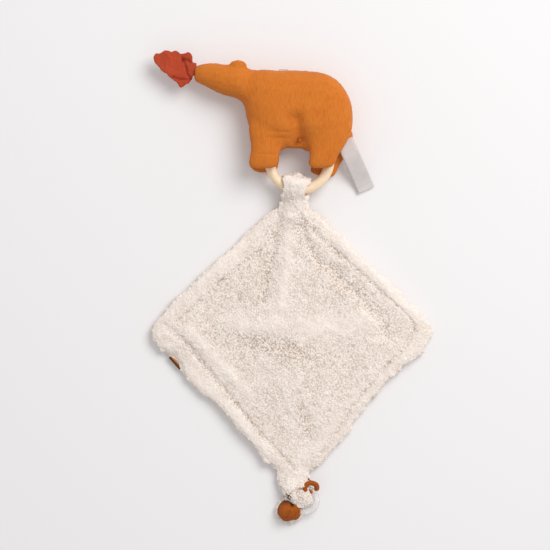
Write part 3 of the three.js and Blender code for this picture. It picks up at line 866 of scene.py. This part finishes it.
def piled(piece, bare, open_and_shade):
    """Raises curls of pile, none where the share bare is 1, and deeper ones where the pile is open; it stores
    each curl's height and how open the pile is, which paint shade into its gaps.
    """
    points = points_of(piece)
    normals = normals_of(piece)
    swirl = vector_noise(points / (CURL_SIZE * SWIRL_SPACING), seed=11)
    swirl *= CURL_SIZE * SWIRL_SHARE
    first, second = nearest_two((points + swirl) / CURL_SIZE, seed=21)
    curl = np.clip((second - first) * CURL_GAIN, 0, 1) ** CURL_POWER
    strand = value_noise((points + swirl) / (CURL_SIZE * STRAND_SPACING), seed=31)
    tuft = layered_noise(points / TUFT_SPACING, seed=41)
    tip = np.clip(CURL_SHARE * curl + STRAND_SHARE * strand + TUFT_SHARE * tuft, 0, TIP_TOP)
    cover = 1 - bare
    depth = PILE_HEIGHT * (PILE_CLOSED_SHARE + PILE_OPEN_SHARE * open_and_shade)
    lean = vector_noise(points / (CURL_SIZE * LEAN_SPACING), seed=51) * PILE_HEIGHT * LEAN_SHARE
    side = smoothstep(*SIDE_FACES, np.abs(normals[:, 2]))
    wave = EDGE_WAVE * value_noise(points / EDGE_WAVE_SPACING, seed=55)
    wave += EDGE_CURL * value_noise(points / EDGE_CURL_SPACING, seed=57)
    tufts = tuft * (TUFT_HEIGHT + side * EDGE_TUFT_HEIGHT)
    rise = ((tip - PILE_BASE_SHARE) * depth + tufts + side * wave) * cover
    keep_value(piece, "tip", tip)
    keep_value(piece, "open", open_and_shade)
    set_points(piece, points + normals * rise[:, None] + lean * (tip * cover)[:, None])


# Bear


def seams_drawn_in(bear, middle):
    """Draws the covers in along their seams, which run round the torso and each leg at half their depth."""
    points = points_of(bear)
    normals = normals_of(bear)
    height = points[:, 2]
    on_torso = points[:, 1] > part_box("torso_cover")[0].y
    off_leg_seam = np.minimum(
        np.abs(height - middle_of("near_front_leg").z),
        np.abs(height - middle_of("far_front_leg").z),
    )
    off_seam = np.where(on_torso, np.abs(height - middle), off_leg_seam)
    side = smoothstep(*SEAM_FACES, np.abs(normals[:, 2]))
    pucker = value_noise(points / SEAM_PUCKER_SPACING, seed=91)
    near = np.exp(-(off_seam / SEAM_WIDTH) ** 2)
    wide = np.exp(-(off_seam / (SEAM_WIDTH * SEAM_PUCKER_REACH)) ** 2)
    rise = (-near + SEAM_PUCKER_SHARE * wide * pucker) * SEAM_DEPTH * side
    set_points(bear, points + normals * rise[:, None])


def hollows_pressed(bear, stitch):
    """Presses in the hollow over the belly stitch on both sides, and the folds across the near front leg."""
    points = points_of(bear)
    normals = normals_of(bear)
    flat = smoothstep(*FLAT_FACES, np.abs(normals[:, 2]))
    rise = points[:, 2] - stitch.z
    hollow_line = [(stitch.x, stitch.y), (stitch.x + HOLLOW_ASIDE, stitch.y + HOLLOW_RISE)]
    hollow = near_line(points, hollow_line, HOLLOW_WIDTH) * flat
    press = np.minimum(HOLLOW_DEPTH * hollow, np.abs(rise) * HOLLOW_MOST_SHARE)
    dimple = DIMPLE_DEPTH * near_place(points, stitch.x, stitch.y, DIMPLE_WIDTH)
    points[:, 2] -= np.sign(rise) * (press + dimple * flat)
    leg_low, leg_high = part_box("near_front_leg")
    for shares in LEG_FOLD_SHARES:
        fold = near_line(points, placed(shares, leg_low, leg_high), LEG_FOLD_WIDTH)
        points[:, 2] -= LEG_FOLD_DEPTH * fold * smoothstep(*LEG_FACES, normals[:, 2])
    set_points(bear, points)


def feet_tucked(bear, middle):
    """Draws the far feet in under the near ones, and rounds the belly's corners with the near legs."""
    points = points_of(bear)
    below = smoothstep(middle, middle - FOOT_TUCK, points[:, 2])
    for node, share in FOOT_TUCK_SHARES.items():
        x, y = placed([share], *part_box(node))[0]
        points[:, 1] += FOOT_TUCK * below * near_place(points, x, y, FOOT_TUCK_WIDTH)
    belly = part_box("torso_cover")[0].y
    for corner in (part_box("near_front_leg")[1].x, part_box("near_hind_leg")[0].x):
        points[:, 1] -= CORNER_FILL * near_place(points, corner, belly, CORNER_FILL_WIDTH)
    set_points(bear, points)


def build_bear(cloth):
    """The covers of the bear and its filling as one skin."""
    nodes = ["torso_cover", "head_cover", "near_ear", "far_ear", "near_front_leg", "near_hind_leg",
             "far_front_leg", "far_hind_leg", "filling"]
    stitch = middle_of("belly_stitch")
    bear = remeshed(cad_copy("bear_skin", *nodes), BEAR_VOXEL, BEAR_SMOOTHING)
    creases_filled(bear, BEAR_CREASE_ROUNDS, from_ring(points_of(bear), "wooden_ring")[0])
    changed(bear, "SUBSURF", levels=1)
    hollows_pressed(bear, stitch)
    feet_tucked(bear, stitch.z)
    seams_drawn_in(bear, stitch.z)
    crinkled(bear, LUMP_HEIGHT, seed=5)
    kept_off(bear, "wooden_ring")
    finished(bear, cloth, "bear", nodes)
    return bear


# Leaf


def leaf_rippled(leaf):
    """Waves, creases and ruffles the leaf, except at its stem, and stores painted shade for the sideways
    faces of its edge.
    """
    low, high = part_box("leaf_front")
    points = points_of(leaf)
    normals = normals_of(leaf)
    lift = LEAF_WAVE * layered_noise(points / LEAF_WAVE_SPACING, seed=61)
    for shares in LEAF_CREASE_SHARES:
        lift -= LEAF_CREASE_DEPTH * near_line(points, placed(shares, low, high), LEAF_CREASE_WIDTH)
    lift += LEAF_RIDGE_HEIGHT * near_line(points, placed(LEAF_RIDGE_SHARES, low, high), LEAF_RIDGE_WIDTH)
    wrinkle = LEAF_WRINKLE * layered_noise(points / LEAF_WRINKLE_SPACING, seed=71)
    free = smoothstep(high.x + LEAF_CREASE_WIDTH, high.x - LEAF_WAVE_SPACING / 3, points[:, 0])
    flat = points * (1, 1, 0)
    ruffle = LEAF_RUFFLE * vector_noise(flat / LEAF_RUFFLE_SPACING, seed=75)[:, :2]
    points[:, :2] += ruffle * free[:, None]
    points[:, 2] += lift * free
    # Painted shade on the sideways faces of the leaf's edge
    keep_value(leaf, "painted_shade", smoothstep(*SIDE_FACES, np.abs(normals[:, 2])))
    set_points(leaf, points + normals * wrinkle[:, None])


def build_leaf(cloth):
    """The two panels of the leaf as one skin, whose stem goes into the mouth."""
    mouth = Vector(next(joint for joint in frame["joints"] if joint["name"] == "leaf_flap")["pos_m"])
    stem = box_piece(
        "stem",
        (mouth.x - STEM_REACH, mouth.y - STEM_HALF_WIDTH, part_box("leaf_back")[0].z),
        (mouth.x + STEM_REACH, mouth.y + STEM_HALF_WIDTH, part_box("leaf_front")[1].z),
    )
    form = joined("leaf_skin", cad_copy("panels", "leaf_front", "leaf_back"), stem)
    leaf = remeshed(form, LEAF_VOXEL, LEAF_SMOOTHING)
    leaf_rippled(leaf)
    finished(leaf, cloth, None, ["leaf_front", "leaf_back"])
    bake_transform(leaf)


# Blanket


def neck_bridge():
    """A soft piece that fills the neck between the panel and the loop."""
    front_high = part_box("blanket_front")[1]
    low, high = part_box("corner_loop")
    centre = ((low.x + high.x) / 2, (front_high.y + low.y) / 2 - NECK_DROP, NECK_HEIGHT)
    return ball("bridge", centre, ((high.x - low.x) / 2 + NECK_WIDENING, NECK_LENGTH, NECK_THICKNESS))


def knot_gather():
    """Cloth gathered in front of the knot."""
    front_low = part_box("blanket_front")[0]
    low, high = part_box("knot_wrap")
    centre = ((low.x + high.x) / 2 - GATHER_ASIDE, front_low.y, front_low.z + GATHER_HEIGHT)
    return ball("gather", centre, (GATHER_WIDTH, GATHER_LENGTH, GATHER_HEIGHT))


def tail_fringe():
    """The pile behind the knot's tail, which shows all round it."""
    low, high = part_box("knot_tail")
    middle = (low + high) / 2
    half = (high - low) / 2 + Vector((TAIL_FRINGE, TAIL_FRINGE, 0))
    centre = (middle.x, middle.y, low.z + FRINGE_HALF_HEIGHT)
    return ball("behind", centre, (half.x, half.y, FRINGE_HALF_HEIGHT))


def loop_spread(blanket):
    """Widens the loop from its foot upwards."""
    low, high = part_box("corner_loop")
    points = points_of(blanket)
    on_loop = smoothstep(low.y + NECK_OVERLAP, low.y + NECK_LENGTH, points[:, 1])
    points[:, 0] += (points[:, 0] - (low.x + high.x) / 2) * LOOP_SPREAD_SHARE * on_loop
    set_points(blanket, points)


def panel_and_neck_evened(blanket):
    """Takes the steps out of the panel's upper face and out of the neck."""
    low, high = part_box("blanket_front")
    along = points_of(blanket)[:, 1]
    on_panel = smoothstep(low.y, low.y + GATHER_LENGTH, along)
    evened(blanket, smoothstep(*PANEL_FACES, normals_of(blanket)[:, 2]) * on_panel, EVEN_ROUNDS)
    on_neck = smoothstep(high.y - NECK_LENGTH, high.y, along)
    on_neck *= smoothstep(high.y + NECK_LENGTH * NECK_END_SHARE, high.y + NECK_LENGTH / 2, along)
    evened(blanket, smoothstep(*NECK_FACES, normals_of(blanket)[:, 2]) * on_neck, NECK_ROUNDS)
    evened(blanket, on_neck, NECK_SMOOTHING, along=(1, 1, 1))


def hidden_thinned(blanket):
    """Thins out the mesh of the panel's lower face, which nothing shows."""
    along = points_of(blanket)[:, 1]
    hidden = normals_of(blanket)[:, 2] < HIDDEN_BELOW
    hidden &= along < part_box("corner_loop")[0].y - NECK_OVERLAP
    hidden &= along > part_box("blanket_front")[0].y + GATHER_LENGTH
    group = blanket.vertex_groups.new(name="thin")
    group.add(np.flatnonzero(hidden).tolist(), 1.0, "REPLACE")
    changed(blanket, "DECIMATE", ratio=0.2, vertex_group="thin")
    blanket.vertex_groups.clear()


def draped(blanket):
    """Lays swells and folds into the blanket's upper face, and says how open its pile is at each point,
    opening it in the folds' valleys and closing it on their ridges, which paints shade and light there.
    """
    low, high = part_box("blanket_front")
    points = points_of(blanket)
    up = smoothstep(*DRAPE_FACES, normals_of(blanket)[:, 2])
    uneven = FOLD_LEVEL + FOLD_UNEVEN * value_noise(points / FOLD_UNEVEN_SPACING, seed=131)
    lift = SWELL_HEIGHT * value_noise(points / SWELL_SPACING, seed=101)
    open_and_shade = OPEN_SHARE + PATCH_SHARE * layered_noise(points / PATCH_SPACING, seed=111)
    open_and_shade -= LOOP_CLOSED_SHARE * smoothstep(high.y, high.y + DRAPE_MARGIN, points[:, 1])
    open_and_shade -= BORDER_CLOSED_SHARE * near_line(points, placed(OUTLINE_SHARES, low, high), BORDER_WIDTH)
    for width, rise, shares in FOLD_SHARES:
        fold = near_line(points, placed(shares, low, high), width * MM) * uneven
        lift += rise * MM * fold
        # Folds open the pile in their valleys and close it on their ridges: painted shade and painted light
        open_and_shade -= math.copysign(FOLD_OPENING_AND_SHADE, rise) * fold
    beside_neck = smoothstep(high.y, high.y - DRAPE_MARGIN, points[:, 1])
    beside_hem = smoothstep(low.y, low.y + DRAPE_MARGIN, points[:, 1])
    points[:, 2] += lift * up * beside_neck * beside_hem
    label = middle_of("edge_label")
    at_label = near_place(points, label.x, label.y, LABEL_NOTCH_WIDTH)
    points[:, 2] -= LABEL_NOTCH_DEPTH * at_label * up
    for width, aside, ahead, shares in BULGE_SHARES:
        bulge = near_line(points, placed(shares, low, high), width * MM) * (1 - at_label) * beside_hem
        points[:, 0] += aside * MM * bulge
        points[:, 1] += ahead * MM * bulge
    set_points(blanket, points)
    return np.clip(open_and_shade, 0, 1)


def knot_creased(blanket):
    """Lumps the knot, presses in the crease between the wrap's two turns, and gives the crease's shares,
    which also paint shade into it.
    """
    points = points_of(blanket)
    normals = normals_of(blanket)
    crease = near_line(points, placed(WRAP_CREASE_SHARES, *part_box("knot_wrap")), WRAP_CREASE_WIDTH)
    points[:, 2] -= WRAP_CREASE_DEPTH * crease * smoothstep(*KNOT_FACES, normals[:, 2])
    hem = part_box("blanket_front")[0].y
    on_knot = smoothstep(hem + GATHER_LENGTH / 2, hem - GATHER_LENGTH / 2, points[:, 1])
    lump = KNOT_LUMP * layered_noise(points / KNOT_LUMP_SPACING, seed=141) * on_knot
    set_points(blanket, points + normals * lump[:, None])
    return crease


def split_below(piece, name, y):
    """Moves the part of a piece that lies below y to a new piece, which meets it without a gap."""
    lower = piece_of(name, piece.data.copy())
    lower.data.name = name
    for half, keeps_lower in ((piece, False), (lower, True)):
        shape = bmesh.new()
        shape.from_mesh(half.data)
        away = [face for face in shape.faces if (face.calc_center_median().y < y) != keeps_lower]
        bmesh.ops.delete(shape, geom=away, context="FACES")
        shape.to_mesh(half.data)
        shape.free()
    return lower


def sherpa_form():
    """The blanket's front, its loop and its knot as one smooth skin without pile."""
    panel = changed(cad_copy("panel", "blanket_front"), "SUBSURF", levels=2)
    soft = cad_copy("soft", "corner_loop", "knot_wrap")
    blanket = joined("blanket_sherpa", panel, soft, neck_bridge(), knot_gather(), tail_fringe())
    remeshed(blanket, BLANKET_VOXEL, BLANKET_SMOOTHING)
    loop_spread(blanket)
    panel_and_neck_evened(blanket)
    creases_filled(blanket, BLANKET_CREASE_ROUNDS, off_both_rings(points_of(blanket)))
    changed(blanket, "SUBSURF", levels=1)
    hidden_thinned(blanket)
    return blanket


def build_sherpa(pile):
    """The pile of the blanket, its loop and its knot: formed as one, then split where the knot starts."""
    front_low, front_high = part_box("blanket_front")
    loop_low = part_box("corner_loop")[0]
    blanket = sherpa_form()
    open_and_shade = draped(blanket)
    crease = knot_creased(blanket)
    points = points_of(blanket)
    below = smoothstep(*LOWER_FACES, normals_of(blanket)[:, 2]) * (points[:, 1] < loop_low.y)
    near_rings = smoothstep(*PILE_BY_RING, off_both_rings(points))
    # The crease opens the pile further, which paints shade into it
    piled(blanket, np.maximum(below, near_rings), np.clip(open_and_shade + crease, 0, 1))
    kept_off(blanket, "wooden_ring")
    kept_off(blanket, "pacifier_ring")
    knot = split_below(blanket, "knot_wrap_pile", front_low.y + GATHER_LENGTH)
    finished(blanket, pile, None, ["blanket_front", "corner_loop"])
    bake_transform(blanket)
    finished(knot, pile, None, ["knot_wrap"])
    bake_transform(knot)
    return knot


def build_lining(cloth):
    """The loop's lining, turned in at both ends."""
    lining = cad_copy("loop_lining_cloth", "corner_loop_lining")
    low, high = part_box("corner_loop_lining")
    points = points_of(lining)
    middle = (low.x + high.x) / 2
    points[:, 0] = middle + (points[:, 0] - middle) * LINING_SHARE
    set_points(lining, points)
    finished(lining, cloth, "loop", ["corner_loop_lining"])


def build_back(cloth):
    """The blanket's back, whose hidden face keeps clear of the folds in the pile."""
    back = changed(cad_copy("blanket_back_cloth", "blanket_back"), "SUBSURF", levels=1)
    points = points_of(back)
    points[:, 2] -= BACK_CLEAR * smoothstep(*BACK_FACES, normals_of(back)[:, 2])
    set_points(back, points)
    finished(back, cloth, "blanket", ["blanket_back"])


# Knot


def build_tail(cloth):
    """The end of the corner that comes out of the knot, notched, with painted shade beside the wrap, in its
    notch and on its sides.
    """
    low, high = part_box("knot_tail")
    tail = remeshed(cad_copy("knot_tail_cloth", "knot_tail"), KNOT_VOXEL, TAIL_SMOOTHING)
    points = points_of(tail)
    notch = near_line(points, placed(TAIL_NOTCH_SHARES, low, high), TAIL_NOTCH_WIDTH)
    points[:, 2] -= TAIL_NOTCH_DEPTH * notch * smoothstep(*KNOT_FACES, normals_of(tail)[:, 2])
    set_points(tail, points)
    crinkled(tail, CRINKLE_HEIGHT, seed=81)
    # Painted shade beside the wrap, in the notch and on the sides
    near_wrap = smoothstep(high.y - TAIL_DARK_LENGTH, high.y, points_of(tail)[:, 1])
    side = smoothstep(*TAIL_SIDE_FACES, normals_of(tail)[:, 2])
    keep_value(tail, "painted_shade", np.clip(near_wrap + TAIL_NOTCH_DARK * notch + TAIL_SIDE_DARK * side, 0, 1))
    finished(tail, cloth, "knot", ["knot_tail"])


def build_strap(cloth):
    """A tape loop that stands over the clear ring, with both ends down in the knot."""
    centre = middle_of("pacifier_ring") + Vector((STRAP_ASIDE, STRAP_AHEAD, STRAP_RISE))
    places = []
    for step in range(STRAP_STEPS + 1):
        share = step / STRAP_STEPS
        turn = math.radians(STRAP_FROM + share * (STRAP_TO - STRAP_FROM))
        fall = STRAP_FALL * abs(2 * share - 1) ** STRAP_FALL_POWER
        flat = Vector((STRAP_WIDTH / 2 * math.cos(turn), STRAP_LENGTH / 2 * math.sin(turn), -fall))
        places.append(centre + flat)
    strap = remeshed(tube("knot_strap_cloth", places, STRAP_THICKNESS / 2), KNOT_VOXEL, STRAP_SMOOTHING)
    crinkled(strap, CRINKLE_HEIGHT, seed=85)
    # The strap's only painted shade is its darker muslin
    keep_value(strap, "painted_shade", np.zeros(len(points_of(strap))))
    finished(strap, cloth, "knot", ["knot_strap"])


def build_knot_threads(thread, knot):
    """Short dark ends of thread, laid on the knot's pile."""
    low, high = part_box("knot_wrap")
    points = points_of(knot)
    ends = []
    for i, shares in enumerate(KNOT_THREAD_SHARES):
        places = []
        for x, y in placed(shares, low, high):
            away = np.hypot(points[:, 0] - x, points[:, 1] - y)
            under = points[away < away.min() + LOOP_RADIUS]
            places.append((x, y, under[:, 2].max() + KNOT_THREAD / 4))
        ends.append(tube(f"knot_thread_{i}", places, KNOT_THREAD / 2))
    finished(joined("knot_threads", *ends), thread, "knot")


# Labels, rings and threads


def rounded_node(node, material):
    """A rigid CAD node keeps its shape, and its facets are made finer."""
    piece = frame["nodes"][node]
    coated(piece, material)
    weld = piece.modifiers.new("weld", "WELD")
    weld.merge_threshold = WELD_REACH
    fine = piece.modifiers.new("fine", "SUBSURF")
    fine.levels = 2
    fine.render_levels = 2


def build_care_label(cloth):
    label = cad_copy("care_label_ribbon", "care_label")
    changed(label, "SUBSURF", levels=3, subdivision_type="SIMPLE")
    points = points_of(label)
    points[:, 2] += LABEL_CURL * value_noise(points / LABEL_CURL_SPACING, seed=121)
    set_points(label, points)
    finished(label, cloth, "care_tag", ["care_label"])


def build_edge_label(cloth):
    """A folded tape at the lower left edge, whose fold points away from the blanket."""
    label = cad_copy("edge_label_tape", "edge_label")
    changed(label, "BEVEL", width=0.5 * MM, segments=3)
    changed(label, "SUBSURF", levels=3, subdivision_type="SIMPLE")
    # Across the lower left edge, which joins the left side of the box to its foot
    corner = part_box("blanket_front")[0]
    inward = np.array([-corner.y, -corner.x]) / math.hypot(corner.x, corner.y)
    across = points_of(label)[:, :2] @ inward
    keep_value(label, "fold", 1 - (across - across.min()) / (across.max() - across.min()))
    finished(label, cloth, "blanket", ["edge_label"])


def ring_of_thread(name, centre, radius, tilt):
    """A small open loop of thread, whose plane is tilted from level by an angle about Y."""
    places = []
    for step in range(LOOP_STEPS + 1):
        turn = LOOP_ANGLE * step / LOOP_STEPS
        flat = Vector((radius * math.cos(turn), radius * math.sin(turn), 0))
        places.append(centre + Vector((flat.x * math.cos(tilt), flat.y, flat.x * math.sin(tilt))))
    return tube(name, places, LOOP_THREAD / 2)


def build_thread_loops(thread, bear):
    """Loops of thread where the belly is stitched, and where the back was sewn shut."""
    stitch = middle_of("belly_stitch")
    points = points_of(bear)
    loops = []
    for i, aside in enumerate((-LOOP_SPREAD, 0, LOOP_SPREAD)):
        away = np.hypot(points[:, 0] - stitch.x - aside, points[:, 1] - stitch.y)
        top = points[away < LOOP_RADIUS][:, 2].max()
        centre = Vector((stitch.x + aside, stitch.y + LOOP_RADIUS * (i % 2), top))
        loops.append(ring_of_thread(f"belly_loop_{i}", centre, LOOP_RADIUS, LOOP_TILT * (1 - i)))
    for i in range(SHUT_STITCHES):
        x = stitch.x - SHUT_AHEAD + i * SHUT_SPACING
        seam = (np.abs(points[:, 0] - x) < LOOP_RADIUS) & (np.abs(points[:, 2] - stitch.z) < LOOP_RADIUS)
        centre = Vector((x, points[seam][:, 1].max(), stitch.z))
        radius = LOOP_RADIUS * SHUT_LOOP_SHARE
        loops.append(ring_of_thread(f"back_loop_{i}", centre, radius, LOOP_TILT * (i % 2)))
    finished(joined("thread_loops", *loops), thread, "bear")


# Floor, light and camera


def build_floor():
    """A pale floor, which glows slightly for the camera alone."""
    low = (-FLOOR_REACH, -FLOOR_REACH, -FLOOR_DROP - FLOOR_THICKNESS)
    floor = box_piece("floor", low, (FLOOR_REACH, FLOOR_REACH, -FLOOR_DROP))
    paint = Paint("floor", Roughness=0.9, Specular_IOR_Level=0.1, Emission_Color=FLOOR)
    seen = paint.node("ShaderNodeLightPath").outputs["Is Camera Ray"]
    glow = paint.maths("MULTIPLY", seen, FLOOR_GLOW)
    paint.tree.links.new(glow, paint.surface.inputs["Emission Strength"])
    paint.coloured(paint.mixed(glow, FLOOR, BLACK))
    floor.data.materials.append(paint.material)


def build_light():
    """An even white sky, and one large lamp that makes soft shadows."""
    world = bpy.data.worlds.new("sky")
    world.use_nodes = True
    sky = world.node_tree.nodes["Background"].inputs
    sky["Strength"].default_value = SKY_LEVEL
    sky["Color"].default_value = WHITE
    bpy.context.scene.world = world
    data = bpy.data.lights.new("lamp", "AREA")
    data.shape = "DISK"
    data.size = LAMP_SIZE
    data.energy = LAMP_POWER
    lamp = bpy.data.objects.new("lamp", data)
    azimuth = math.radians(LAMP_AZIMUTH)
    elevation = math.radians(LAMP_ELEVATION)
    away = Vector((
        math.cos(azimuth) * math.cos(elevation),
        math.sin(azimuth) * math.cos(elevation),
        math.sin(elevation),
    ))
    lamp.location = Vector((VIEW_X, VIEW_Y, 0)) + away * LAMP_DISTANCE
    lamp.rotation_euler = away.to_track_quat("Z", "Y").to_euler()
    bpy.context.scene.collection.objects.link(lamp)


def build_camera():
    data = bpy.data.cameras.new("camera")
    data.sensor_width = SENSOR
    data.lens = SENSOR * VIEW_HEIGHT / VIEW_FIELD
    camera = bpy.data.objects.new("camera", data)
    camera.location = (VIEW_X, VIEW_Y, VIEW_HEIGHT)
    bpy.context.scene.collection.objects.link(camera)
    bpy.context.scene.camera = camera


ochre_cloth = muslin("ochre_muslin", OCHRE, OCHRE_SHADE, OCHRE_LIGHT)
rust_cloth = muslin("rust_muslin", RUST, RUST_SHADE, RUST_LIGHT, painted_shade=True, streak=FAINT_STREAK)
# Painted shade: a darker copy of the ochre muslin, for the knot's tail and strap
shaded_cloth = muslin("shaded_muslin", TAIL_OCHRE, TAIL_SHADE, TAIL_LIGHT, painted_shade=True, streak=FAINT_STREAK)

build_camera()
build_light()
build_floor()
bear_skin = build_bear(ochre_cloth)
build_thread_loops(twisted("loose_thread", THREAD_LIGHT, THREAD), bear_skin)
build_leaf(rust_cloth)
knot_pile = build_sherpa(sherpa())
build_knot_threads(twisted("dark_thread", DARK_THREAD_LIGHT, DARK_THREAD), knot_pile)
build_back(ochre_cloth)
build_tail(shaded_cloth)
build_strap(shaded_cloth)
build_lining(ochre_cloth)
build_care_label(satin())
rounded_node("wooden_ring", maple())
rounded_node("pacifier_ring", silicone())
coated(frame["nodes"]["belly_stitch"], twisted("thread", THREAD, OCHRE_SHADE))
build_edge_label(tape())

bpy.context.scene.view_settings.view_transform = "Standard"
